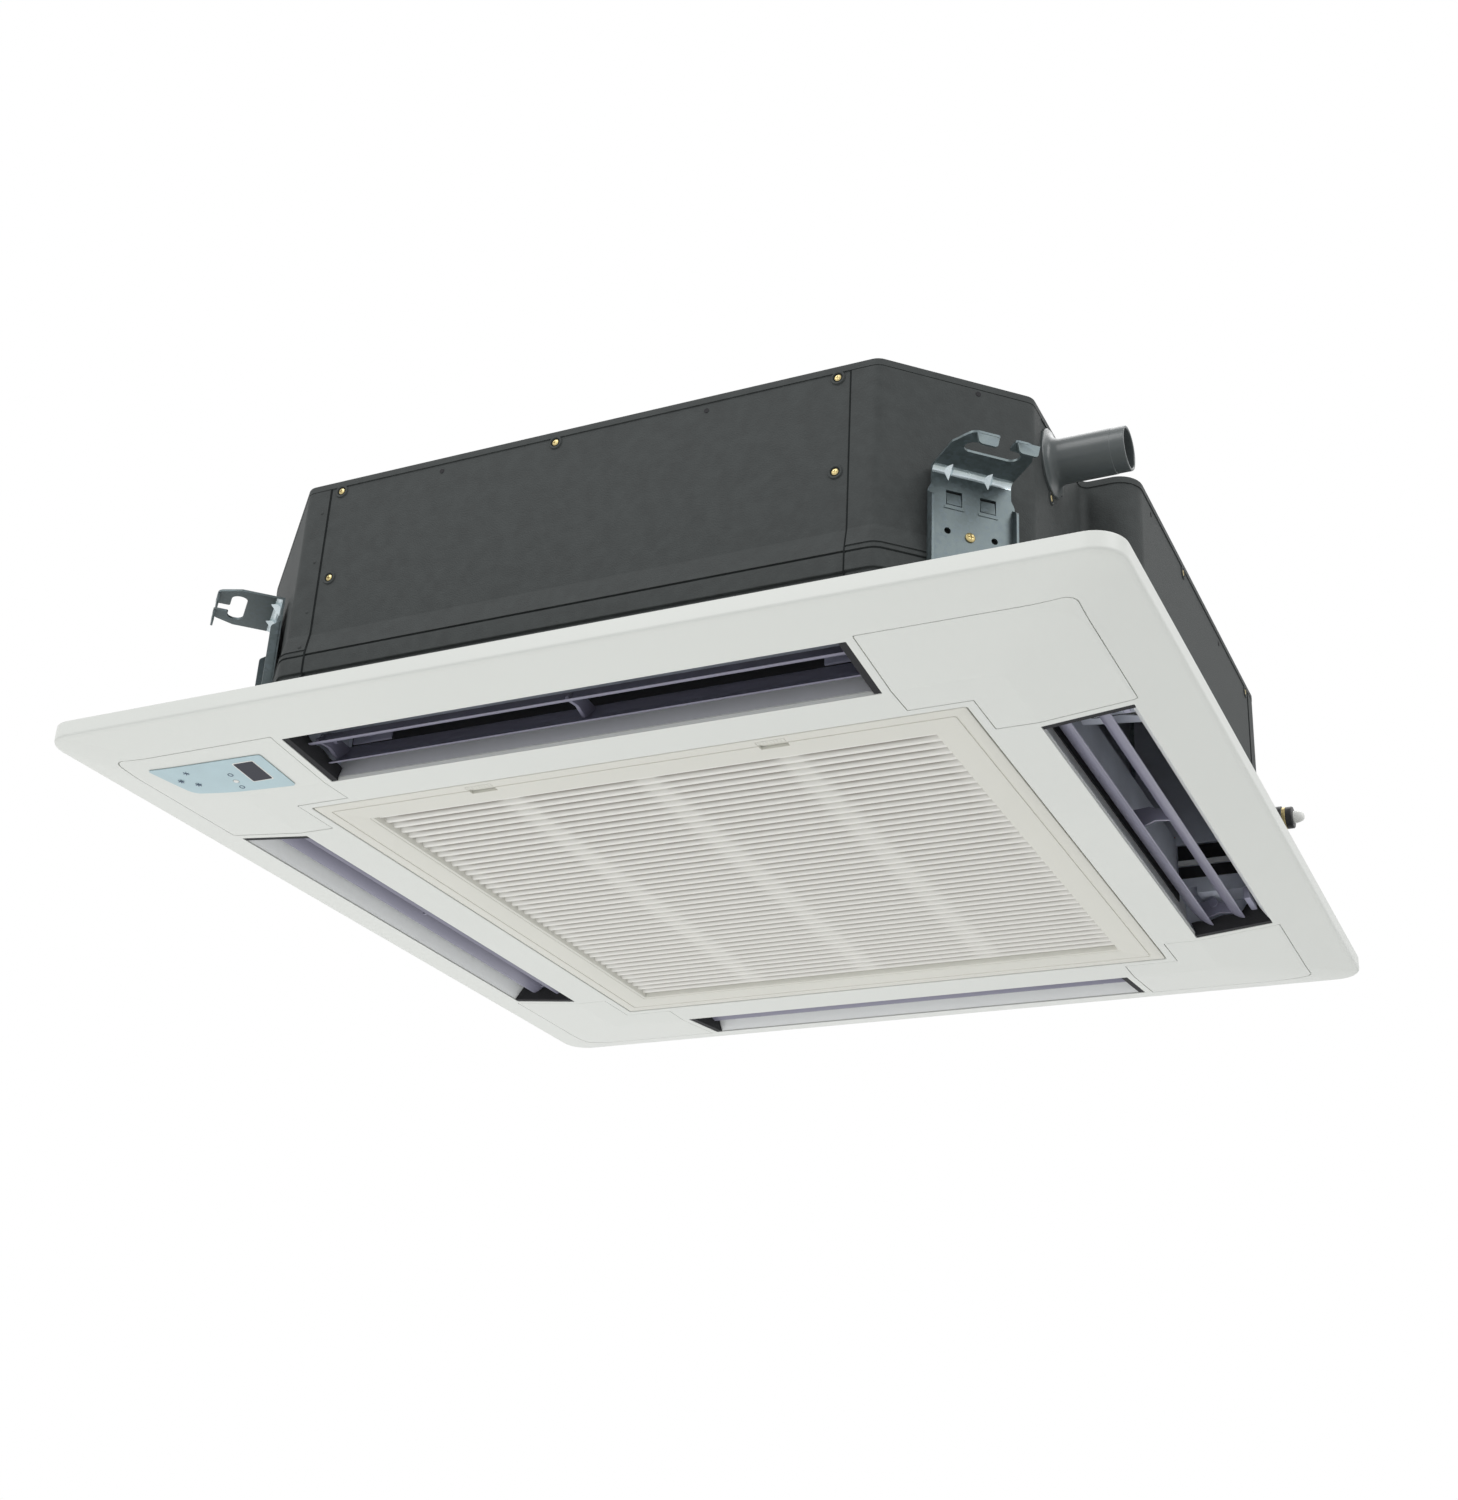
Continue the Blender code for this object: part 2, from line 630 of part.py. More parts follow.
def build_header(name, route, bend, feeders):
    """A bent pipe with feeder tubes into the coil's plate."""
    header = add_piece(name, tube(bent_route(route, bend), PIPE_RADIUS, 10), COPPER)
    tubes = bmesh.new()
    for start, end in feeders:
        rod(start, end, TUBE_RADIUS, 6, tubes)
    join(header, tubes)


def build_pipes():
    plate = COIL_END + GAP + SHEET + GAP
    feed = COIL_INNER + COIL_DEPTH * 0.7
    top = COIL_TOP - 0.020
    heights = [COIL_BOTTOM + TUBE_PITCH * (2 * k + 1) for k in range(1, 3)]
    return_route = [(feed, PIPE_Y, top), (feed, PIPE_Y, RETURN_Z), (CASING_HALF, PIPE_Y, RETURN_Z)]
    return_feeders = [((feed, PIPE_Y - 0.002, z), (feed, plate, z)) for z in heights]
    build_header("return_header", return_route, 0.018, return_feeders)
    supply_route = [(SUPPLY_BEND_X, SUPPLY_BEND_Y, top), (SUPPLY_BEND_X, SUPPLY_BEND_Y, SUPPLY_Z),
                    (SUPPLY_BEND_X, PIPE_Y, SUPPLY_Z), (CASING_HALF, PIPE_Y, SUPPLY_Z)]
    supply_feeders = [((SUPPLY_BEND_X - 0.002, SUPPLY_BEND_Y + 0.003, z), (plate + 0.0006, feed - 0.004, z))
                      for z in heights]
    build_header("supply_header", supply_route, 0.0105, supply_feeders)
    body = COLLAR_RADIUS - 0.0035
    cap = COLLAR_RADIUS - 0.0055
    profile = [(0, 0), (COLLAR_RADIUS, 0), (COLLAR_RADIUS, 0.012), (body, 0.014), (body, 0.023), (cap, 0.024),
               (cap, FITTING_LENGTH - 0.004), (cap - 0.003, FITTING_LENGTH), (0, FITTING_LENGTH)]
    for name, z in (("return_fitting", RETURN_Z), ("supply_fitting", SUPPLY_Z)):
        add_piece(name, lathe(profile, 12), BRASS, toward_x(CASING_HALF + GAP, PIPE_Y, z))


# Drain pump, float, hose and stub

def seat_plate(start, end):
    """Flange that lies on the pan beside the sump, clipped at its +Y end to clear the recess."""
    near = SUMP_DISTANCE - SUMP_DEPTH / 2 - 0.010
    far = SUMP_DISTANCE + SUMP_DEPTH / 2 - 0.001
    clip = max(0.002, end - 0.030)
    return [(near, start), (far, start), (far, end - clip), (far - clip, end), (near, end)]


def build_drain_pump():
    seat = PAN_TOP + GAP
    plate = prism(seat_plate(SUMP_START - 0.010, -0.003), seat, seat + 0.002)
    pump = add_piece("drain_pump", plate, BLACK, chamfer_matrix())
    at = chamfer_matrix() @ Matrix.Translation((SUMP_DISTANCE, PUMP_ALONG, 0))
    cut(pump, prism(circle(PUMP_RADIUS - 0.0025, 16, start=0.5), 0.05, 0.07), at)
    shaft = SHAFT_RADIUS * 0.5
    bore = shaft + GAP
    skirt = SUMP_FLOOR + 0.006
    profile = [(PUMP_RADIUS - 0.004, skirt), (PUMP_RADIUS, skirt), (PUMP_RADIUS, 0.067),
               (PUMP_RADIUS - 0.005, 0.070), (PUMP_RADIUS - 0.005, 0.083), (PUMP_RADIUS - 0.001, 0.086),
               (PUMP_RADIUS - 0.001, 0.122), (PUMP_RADIUS - 0.004, 0.126), (0, 0.126), (0, ROTOR_Z + 0.024),
               (bore, ROTOR_Z + 0.024), (bore, ROTOR_Z + 0.012), (PUMP_RADIUS - 0.004, ROTOR_Z + 0.012)]
    join(pump, lathe(profile, 16), at)
    join(pump, rod((0, 0.001, PUMP_OUTLET_Z), (0, PUMP_RADIUS + 0.008, PUMP_OUTLET_Z), 0.0062, 10), at)
    x, y = chamfer_frame(SUMP_DISTANCE, PUMP_ALONG)
    rotor = lathe([(0, 0), (0.006, 0), (0.006, 0.002), (0.0028, 0.003), (shaft, 0.004), (shaft, 0.0235),
                   (0, 0.0235)], 10)
    impeller = add_piece("pump_impeller", rotor, WHITE, Matrix.Translation((x, y, ROTOR_Z)))
    blade, thin = 0.015, 0.0012
    for half_x, half_y in ((blade, thin), (thin, blade)):
        join(impeller, box((-half_x, -half_y, 0.0004), (half_x, half_y, 0.009)))


def build_float_switch():
    seat = PAN_TOP + GAP
    plate = prism(seat_plate(0.003, SUMP_END + 0.006), seat, seat + 0.002)
    switch = add_piece("float_switch", plate, WHITE, chamfer_matrix())
    stem, foot, head = 0.003, 0.006, 0.008
    low = SUMP_FLOOR + 0.0015
    rest = FLOAT_Z - GAP
    profile = [(0, low), (foot, low), (foot, rest), (stem, rest), (stem, seat), (head, seat),
               (head, seat + head), (0, seat + head)]
    join(switch, lathe(profile, 12), chamfer_matrix() @ Matrix.Translation((SUMP_DISTANCE, FLOAT_ALONG, 0)))
    x, y = chamfer_frame(SUMP_DISTANCE, FLOAT_ALONG)
    bore = stem + GAP
    ring = [(bore, 0), (0.0105, 0), (0.0115, 0.002), (0.0115, 0.010), (0.0105, 0.012), (bore, 0.012)]
    add_piece("float", lathe(ring, 14), WHITE, Matrix.Translation((x, y, FLOAT_Z)))


def build_drain_hose():
    """Rubber hose from the pump's outlet up to the stub's spigot."""
    start = PUMP_ALONG + PUMP_RADIUS + 0.008 + GAP
    turn = start + HOSE_BEND + 0.002
    first = Vector((*chamfer_frame(SUMP_DISTANCE, start), PUMP_OUTLET_Z))
    corner = Vector((*chamfer_frame(SUMP_DISTANCE, turn), PUMP_OUTLET_Z))
    last = Vector((RECESS_X - UPPER_INSET - SPIGOT_LENGTH - GAP, STUB_Y, STUB_Z))
    route = bent_route([first, corner, last - Vector((HOSE_REACH, 0, 0)), last], HOSE_BEND, 5)
    hose = tube(route, HOSE_RADIUS, 8)
    bmesh.ops.triangulate(hose, faces=hose.faces[:])
    add_piece("drain_hose", hose, GREY)


def build_drain_stub():
    wall = RECESS_X - UPPER_INSET
    start = wall + GAP
    length = STUB_REACH - start
    flange = STUB_RADIUS + 0.010
    bore = SPIGOT_RADIUS - 0.0025
    spigot = -SPIGOT_LENGTH - GAP
    profile = [(bore, spigot), (SPIGOT_RADIUS, spigot), (SPIGOT_RADIUS, 0), (flange, 0), (flange, 0.003),
               (STUB_RADIUS, 0.006), (STUB_RADIUS, length), (STUB_BORE, length), (STUB_BORE, 0.008),
               (bore, 0.004)]
    add_piece("drain_stub", lathe(profile, 20), GREY, toward_x(start, STUB_Y, STUB_Z))


# Fan, motor and bell mouth

def shroud_z(radius):
    """Height of the shroud's middle surface, rising from the inlet out to the rim."""
    share = (radius - FAN_INLET) / (FAN_RADIUS - FAN_INLET)
    return FAN_BOTTOM + 0.008 + 0.030 * max(0.0, share) ** 1.6


def fan_blade(bm, turn):
    """One backward-curved blade, with its leading edge leaning from the hub plate to the inlet."""
    stations = 3
    rings = []
    for k in range(stations + 1):
        share = k / stations
        tip = FAN_RADIUS - 0.002
        low = FAN_INLET + 0.0035 + (tip - FAN_INLET - 0.0035) * share
        high = ROOT_RADIUS + (tip - ROOT_RADIUS) * share
        thick = 0.0012 + 0.0022 * math.sin(math.pi * min(1.0, share + 0.25))
        ring = []
        bottom, top = shroud_z(low), FAN_TOP - 0.001
        for radius, z, side in ((low, bottom, -1), (low, bottom, 1), (high, top, 1), (high, top, -1)):
            angle = turn - BLADE_SWEEP * (radius - ROOT_RADIUS)
            tangent = Vector((-math.sin(angle), math.cos(angle), 0))
            point = Vector((radius * math.cos(angle), radius * math.sin(angle), z))
            ring.append(point + tangent * thick * side)
        rings.append(ring)
    stack(bm, rings)


def build_fan():
    sheet = FAN_SHEET
    bore = SHAFT_RADIUS + GAP
    boss_low = CUP_FLOOR - 0.006
    plate_low = FAN_TOP - sheet
    hub = [(bore, boss_low), (0.014, boss_low), (0.014, CUP_FLOOR), (CUP_RADIUS, CUP_FLOOR),
           (CUP_RADIUS + 0.010, plate_low), (FAN_RADIUS, plate_low), (FAN_RADIUS, FAN_TOP),
           (CUP_RADIUS + 0.008, FAN_TOP), (CUP_RADIUS - 0.002, CUP_FLOOR + sheet), (bore, CUP_FLOOR + sheet)]
    fan = add_piece("fan_impeller", lathe(hub, 24), GREY)
    radii = [FAN_INLET, FAN_INLET + 0.026, FAN_RADIUS]
    shroud = [(FAN_INLET, FAN_BOTTOM), (FAN_INLET + sheet, FAN_BOTTOM)]
    shroud += [(r, shroud_z(r) - sheet / 2) for r in radii[1:]]
    shroud += [(r, shroud_z(r) + sheet / 2) for r in reversed(radii)]
    join(fan, lathe(shroud, 24))
    blades = bmesh.new()
    for k in range(FAN_BLADES):
        fan_blade(blades, math.tau * (k + 0.13) / FAN_BLADES)
    join(fan, blades)
    nut_top = boss_low - GAP
    nut = add_piece("fan_nut", prism(circle(0.009, 6), nut_top - 0.005, nut_top), ZINC)
    cut(nut, prism(circle(bore, 12), nut_top - 0.01, nut_top + 0.01))


def build_fan_motor():
    seat = CASING_TOP - SHEET - MOTOR_DISH_DEPTH - GAP
    nut_low = CUP_FLOOR - 0.014
    clear = CUP_FLOOR + FAN_SHEET + 0.006
    profile = [(0, nut_low), (SHAFT_RADIUS, nut_low), (SHAFT_RADIUS, clear), (0.018, clear),
               (0.020, clear + 0.004), (MOTOR_RADIUS - 0.006, clear + 0.007), (MOTOR_RADIUS, clear + 0.012),
               (MOTOR_RADIUS, seat - 0.012), (MOTOR_RADIUS + 0.012, seat - 0.004),
               (MOTOR_RADIUS + 0.016, seat), (0, seat)]
    add_piece("fan_motor", lathe(profile, 20), ZINC)


def build_bell_mouth():
    """Inlet plate with a flared throat that guides air into the fan."""
    plate_top = CASING_BOTTOM + 0.002
    plate = rounded_square(PAN_OPENING_HALF - GAP, PAN_OPENING_ROUND - GAP)
    bell = add_piece("bell_mouth", prism(plate, CASING_BOTTOM, plate_top), BLACK)
    cut(bell, prism(circle(FLARE_RADIUS + 0.0015, 24, start=0.5), -0.01, 0.02))
    inner = []
    low = CASING_BOTTOM + 0.0004
    edge = FLARE_RADIUS + 0.004
    outer = [(edge, low), (edge, low + 0.001)]
    steps = 3
    for k in range(steps + 1):
        angle = math.pi / 2 * k / steps
        radius = FLARE_RADIUS - (FLARE_RADIUS - THROAT_RADIUS) * math.sin(angle)
        z = low + (THROAT_TOP - low) * (1 - math.cos(angle))
        inner.append((radius, z))
        if k:
            outer.append((radius + 0.002, z if k == steps else z + 0.0005))
    join(bell, lathe(list(reversed(inner)) + outer, 24))
    window = 0.004
    cut(bell, box((BOX_X[0] + window, -BOX_HALF + window, CUT_LOW),
                  (BOX_X[1] - window, BOX_HALF - window, plate_top + 0.001)))


def build_electric_box():
    """Steel tray above the inlet plate, closed from below by a cover."""
    x0, x1 = BOX_X
    low = CASING_BOTTOM + 0.002 + GAP
    tray = add_piece("electric_box", box((x0, -BOX_HALF, low), (x1, BOX_HALF, BOX_TOP)), ZINC)
    cut(tray, box((x0 + SHEET, -BOX_HALF + SHEET, -0.01), (x1 - SHEET, BOX_HALF - SHEET, BOX_TOP - SHEET)))
    board_top = low + 0.005
    posts = bmesh.new()
    for x in (x0 + 0.010, x1 - 0.010):
        for y in (-BOX_HALF + 0.012, BOX_HALF - 0.012):
            prism(circle(0.0025, 8, x, y), board_top + GAP, BOX_TOP - SHEET / 2, posts)
    join(tray, posts)
    board = add_piece("control_board", box((x0 + 0.006, -BOX_HALF + 0.007, board_top - 0.0016),
                                           (x1 - 0.006, BOX_HALF - 0.007, board_top)), GREEN)
    parts = bmesh.new()
    sink = 0.0008
    across = x1 - x0
    for middle, y, share, width, height in ((10 / 33, -0.055, 1 / 3, 0.030, 0.020),
                                            (15 / 22, -0.040, 7 / 33, 0.020, 0.014),
                                            (3 / 11, 0.010, 8 / 33, 0.050, 0.010),
                                            (2 / 3, 0.015, 3 / 11, 0.018, 0.012),
                                            (14 / 33, 0.065, 5 / 11, 0.022, 0.012)):
        x = x0 + across * middle
        length = across * share
        box((x - length / 2, y - width / 2, board_top - sink),
            (x + length / 2, y + width / 2, board_top + height), parts)
    join(board, parts)
    cover_top = CASING_BOTTOM - GAP
    cover = add_piece("electric_box_cover", box((x0 + 0.001, -BOX_HALF + 0.001, cover_top - 0.0015),
                                                (x1 - 0.001, BOX_HALF - 0.001, cover_top)), ZINC)
    ribs = bmesh.new()
    for y in (-0.06, 0.0, 0.06):
        box((x0 + 0.012, y - 0.003, cover_top - 0.0027), (x1 - 0.012, y + 0.003, cover_top - 0.0010), ribs)
    join(cover, ribs)


# Panel

def panel_surface():
    """Half size, height and corner radius of the visible surface, from the rim's top to the opening."""
    return [(PANEL_HALF, 0.0, 0.026), (PANEL_HALF, -RIM_HEIGHT, 0.026),
            (PANEL_HALF - RIM_EASE, -RIM_HEIGHT - 0.0024, 0.0255), (SLOPE_HALF, SLOPE_Z, 0.040),
            (FACE_HALF, FACE_Z, 0.014), (OPENING_HALF, FACE_Z, 0.003)]


def ring_levels(rows, steps=3):
    return rings_at([(rounded_square(half, radius, steps), z) for half, z, radius in rows])


def panel_slab(low, high):
    """A sheet that follows the panel's face between two heights above it, over the corner covers' range."""
    rim, slope, face, _ = panel_surface()[2:]
    halfway = tuple((a + b) / 2 for a, b in zip(rim, slope))
    rows = [halfway, slope, face, (COVER_NOTCH - 0.004, FACE_Z, 0.003)]
    lower = [(half, z + low, radius) for half, z, radius in rows]
    upper = [(half, z + high, radius) for half, z, radius in reversed(rows)]
    return stack(bmesh.new(), ring_levels(lower + upper), True)


def face_height(x, y):
    """Height of the panel's visible face above a point on its flat or sloped part."""
    share = max(0.0, (max(abs(x), abs(y)) - FACE_HALF) / (SLOPE_HALF - FACE_HALF))
    return FACE_Z + (SLOPE_Z - FACE_Z) * share


def cover_outline(sx, sy, inset):
    """L-shaped outline of a corner cover, notched round the intake opening."""
    near, far, notch = COVER_NEAR + inset, COVER_FAR - inset, COVER_NOTCH + inset
    points = [(near, notch, 0), (near, far, 0), (far, far, 0.010), (far, near, 0), (notch, near, 0),
              (notch, notch, 0)]
    return rounded_polygon([(x * sx, -y * sy, r) for x, y, r in points], 3)


def build_panel_frame():
    lifted = FACE_Z + SKIN
    inside = [(OPENING_HALF, FLANGE_TOP, 0.003), (OPENING_HALF + FLANGE_WALL, FLANGE_TOP, 0.005),
              (OPENING_HALF + FLANGE_WALL, lifted, 0.005), (FACE_HALF, lifted, 0.014),
              (SLOPE_HALF - 0.0015, SLOPE_Z + SKIN, 0.039),
              (PANEL_HALF - RIM_WALL - 0.002, -RIM_HEIGHT + 0.0008, 0.024),
              (PANEL_HALF - RIM_WALL, -RIM_HEIGHT + 0.0025, 0.0235), (PANEL_HALF - RIM_WALL, 0.0, 0.0235)]
    shell = stack(bmesh.new(), ring_levels(panel_surface() + inside), True)
    frame = add_piece("panel_frame", shell, WHITE)
    slots = bmesh.new()
    slot = rectangle(SLOT_INNER, SLOT_OUTER, -SLOT_HALF, SLOT_HALF)
    for side in SIDES:
        prism(on_side(side, slot), CUT_LOW, CUT_HIGH, slots)
    cut(frame, slots)
    through = bmesh.new()
    for sx, sy in CORNERS.values():
        prism(cover_outline(sx, sy, LEDGE), CUT_LOW, CUT_HIGH, through)
    cut(frame, through)
    for name, (sx, sy) in CORNERS.items():
        recess = add_piece("recess_" + name, panel_slab(-0.002, COVER_THICKNESS + GAP))
        combine(recess, "INTERSECT", prism(cover_outline(sx, sy, 0.0), CUT_LOW, CUT_HIGH))
        combine(frame, "DIFFERENCE", None, tool=recess)
    cut(frame, rod((-OPENING_HALF - 0.006, HINGE_Y, HINGE_Z), (OPENING_HALF + 0.006, HINGE_Y, HINGE_Z),
                   HINGE_PIN + GAP, 8))


def build_corner_covers():
    for name, (sx, sy) in CORNERS.items():
        cover = add_piece("corner_cover_" + name, panel_slab(0.0, COVER_THICKNESS), WHITE)
        combine(cover, "INTERSECT", prism(cover_outline(sx, sy, COVER_GAP), CUT_LOW, CUT_HIGH))
        if name == "near_left":
            cut(cover, prism(circle(BUTTON_RADIUS + GAP, 12, BUTTON_X, BUTTON_Y), CUT_LOW, CUT_HIGH))
            posts = bmesh.new()
            for x in (LABEL_X[0] + 0.036, LABEL_X[1] - 0.012):
                for y in (LABEL_Y[0] + 0.014, LABEL_Y[1] - 0.006):
                    start = face_height(x, y) + COVER_THICKNESS / 2
                    prism(circle(0.0022, 6, x, y), start, BOARD_Z - GAP, posts)
            join(cover, posts)


def build_display():
    """Label on the near left cover, the board behind it and its push button."""
    label = add_piece("display_label", panel_slab(-GAP - 0.0006, -GAP), BLUE)
    x0, x1 = LABEL_X
    y0, y1 = LABEL_Y
    outline = rounded_polygon([(x0, y0, 0.002), (x1, y0 + 0.003, 0.002), (x1, y1, 0.002),
                               (x0 + 0.014, y1 - 0.008, 0.010)], 3)
    combine(label, "INTERSECT", prism(outline, CUT_LOW, CUT_HIGH))
    cut(label, prism(circle(BUTTON_RADIUS + GAP, 12, BUTTON_X, BUTTON_Y), CUT_LOW, CUT_HIGH))
    plate = box((x0 + 0.006, y0 + 0.008, BOARD_Z), (x1 - 0.006, y1 - 0.001, BOARD_Z + 0.0016))
    board = add_piece("display_board", plate, GREEN)
    switch_low = BUTTON_FLANGE_TOP + BUTTON_TRAVEL + GAP
    half = 0.003
    join(board, box((BUTTON_X - half, BUTTON_Y - half, switch_low),
                    (BUTTON_X + half, BUTTON_Y + half, BOARD_Z + 0.0008)))
    height = BUTTON_FLANGE_TOP - BUTTON_TIP
    flange = BUTTON_RADIUS + 0.0016
    button = [(0, 0), (BUTTON_RADIUS - 0.0004, 0), (BUTTON_RADIUS, 0.0004), (BUTTON_RADIUS, height - 0.0012),
              (flange, height - 0.0012), (flange, height), (0, height)]
    add_piece("manual_button", lathe(button, 10), WHITE, Matrix.Translation((BUTTON_X, BUTTON_Y, BUTTON_TIP)))


# Outlets

def build_outlet_guide(side):
    """Moulded collar with the curved outer lip and the two end walls that carry the louver.

    The right one has a roof where the casing's recess leaves the outlet uncovered.
    """
    lifted = FACE_Z + SKIN + GAP
    slope_top = SLOPE_Z + SKIN + GAP
    hull = [(GUIDE_INNER, lifted), (FACE_HALF, lifted), (SLOPE_HALF - 0.0015, slope_top),
            (SLOPE_HALF + 0.002, slope_top + 0.0011), (DUCT_OUTER + 0.003, GUIDE_TOP),
            (GUIDE_INNER, GUIDE_TOP)]
    wall_end = SLOT_HALF + END_WALL
    guide = add_piece("outlet_guide_" + side, side_prism(hull, -wall_end, wall_end), FOAM, side_matrix(side))
    passage = INNER_LIP + OUTER_LIP + [(SLOT_OUTER - GAP, -0.05), (SLOT_INNER + GAP, -0.05)]
    cut(guide, side_prism(passage, -SLOT_HALF, SLOT_HALF))
    cut(guide, rod((PIVOT_S, -wall_end - 0.002, PIVOT_Z), (PIVOT_S, wall_end + 0.002, PIVOT_Z),
                   PIN_RADIUS + PIN_CLEARANCE, 12))
    if side == "right":
        join(guide, box((RECESS_ROOF_INNER, -wall_end + 0.001, GUIDE_TOP - ROOF_THICKNESS),
                        (DUCT_OUTER + 0.002, RECESS_Y + RECESS_ROOF_REACH, GUIDE_TOP)), side_matrix(side))
    inner = SLOT_INNER + 2 * GAP
    outer = SLOT_OUTER - 2 * GAP
    slope = (SLOPE_Z - FACE_Z) / (SLOPE_HALF - FACE_HALF)
    low = FACE_Z + 0.0004
    seal = [(inner, low), (outer, low + slope * (outer - FACE_HALF)), (outer, -0.0224),
            (DUCT_OUTER + 0.0085, -0.0179), (DUCT_OUTER + 0.004, -0.0118), (DUCT_OUTER - 0.001, -0.0060),
            (DUCT_OUTER - 0.008, -0.0055), (DUCT_OUTER - 0.013, -0.0125), (DUCT_OUTER - 0.020, -0.0150),
            (PIVOT_S + 0.006, -0.0150), (PIVOT_S - 0.006, -0.0190), (SLOT_INNER + 0.004, -0.0185),
            (SLOT_INNER - 0.0035, -0.0200), (inner, FACE_Z + SKIN + 0.0007)]
    face = SLOT_HALF - GAP
    for mark, sign in (("a", -1), ("b", 1)):
        ends = sorted((sign * face, sign * (face - SEAL_THICKNESS)))
        add_piece(f"end_seal_{side}_{mark}", side_prism(seal, *ends), BLACK, side_matrix(side))


def vane_section(start, end, camber, steps=2):
    """Section of a curved blade between two points, bulging by its camber."""
    start, end = Vector(start), Vector(end)
    chord = end - start
    normal = Vector((-chord.y, chord.x)).normalized()
    upper = []
    lower = []
    for k in range(steps + 1):
        share = k / steps
        centre = start + chord * share + normal * camber * 4 * share * (1 - share)
        half = VANE_THICKNESS / 2 * (0.55 if k in (0, steps) else 1.0)
        upper.append(tuple(centre + normal * half))
        lower.append(tuple(centre - normal * half))
    return upper + list(reversed(lower))


def build_louvers():
    """Twin-vane louver: two curved blades on three arms, with a pin at each end."""
    inner = vane_section((INNER_VANE_END, 0.004), (-0.002, -0.021), -0.003)
    outer = vane_section((OUTER_VANE_END - 0.0165, -0.0012), (OUTER_VANE_END, -0.0165), -0.003)
    blades = side_prism(inner, -LOUVER_HALF, LOUVER_HALF)
    side_prism(outer, -LOUVER_HALF, LOUVER_HALF, blades)
    matrix = side_matrix("right", PIVOT_S, PIVOT_Z)
    louver = add_piece("louver_right", blades, VANE, matrix)
    arm = [(INNER_VANE_END + 0.001, 0.0010), (-0.0085, -0.0150), (0.0050, -0.0100),
           (OUTER_VANE_END - 0.003, -0.0125), (OUTER_VANE_END - 0.0155, -0.0018), (0.0, 0.0034)]
    arms = bmesh.new()
    for t in (-LOUVER_HALF + 0.004, 0.0, LOUVER_HALF - 0.004):
        side_prism(arm, t - 0.0015, t + 0.0015, arms)
    join(louver, arms, matrix)
    pins = bmesh.new()
    reach = SLOT_HALF + END_WALL
    for sign in (-1, 1):
        rod((0, sign * (LOUVER_HALF - 0.0035), 0), (0, sign * reach, 0), PIN_RADIUS, 10, pins)
    join(louver, pins, matrix)
    for side in SIDES:
        if side != "right":
            settled_copy(louver, "louver_" + side, VANE, side_matrix(side, PIVOT_S, PIVOT_Z))


def build_swing_motor(side):
    start = SLOT_HALF + END_WALL + GAP
    at = side_matrix(side, PIVOT_S, PIVOT_Z) @ Matrix.Translation((0, start, 0))
    at = at @ Matrix.Rotation(math.radians(-90), 4, "X")
    can = prism(circle(SWING_MOTOR_RADIUS, 12), 0, SWING_MOTOR_LENGTH)
    motor = add_piece("swing_motor_" + side, can, ZINC, at)
    ears = rounded_box(-0.018, -0.0035, 0.018, 0.0035, 0.0025, 1)
    join(motor, prism(ears, 0.0004, 0.0014))


# Intake grille

def grille_field(bm):
    """Slats as one solid with its rim: the gaps lean, so that nobody sees straight through."""
    edge = FIELD_HALF + 0.0012
    side = FIELD_HALF - 0.001
    pitch = 2 * FIELD_HALF / SLAT_ROWS
    low, high = FIELD_Z, FIELD_Z + SLAT_DEPTH
    levels = []
    for z, lean in ((low, SLAT_LEAN / 2), (high, -SLAT_LEAN / 2)):
        lines = []
        for k in range(SLAT_ROWS):
            centre = -FIELD_HALF + pitch * (k + 0.5) + lean
            for reach in (-(pitch - SLAT_WALL) / 2, (pitch - SLAT_WALL) / 2):
                lines.append([bm.verts.new((x, centre + reach, z)) for x in (-side, side)])
        rim = [bm.verts.new((x, y, z)) for x, y in rectangle(-edge, edge, -edge, edge)]
        for first, second in zip(lines[1::2], lines[2::2]):
            bm.faces.new((first[0], first[1], second[1], second[0]))
        bm.faces.new((rim[0], rim[1], lines[0][1], lines[0][0]))
        bm.faces.new((rim[2], rim[3], lines[-1][0], lines[-1][1]))
        bm.faces.new([rim[3], rim[0]] + [line[0] for line in lines])
        bm.faces.new([rim[1], rim[2]] + [line[1] for line in reversed(lines)])
        levels.append((lines, rim))
    (low_lines, low_rim), (high_lines, high_rim) = levels
    for i in range(4):
        j = (i + 1) % 4
        bm.faces.new((low_rim[i], low_rim[j], high_rim[j], high_rim[i]))
    for k in range(0, len(low_lines), 2):
        below = low_lines[k] + low_lines[k + 1][::-1]
        above = high_lines[k] + high_lines[k + 1][::-1]
        for i in range(4):
            j = (i + 1) % 4
            bm.faces.new((below[i], below[j], above[j], above[i]))
    return bm


def grille_outline(half, far, radius):
    return rounded_box(-half, -half, half, far, radius, 2)


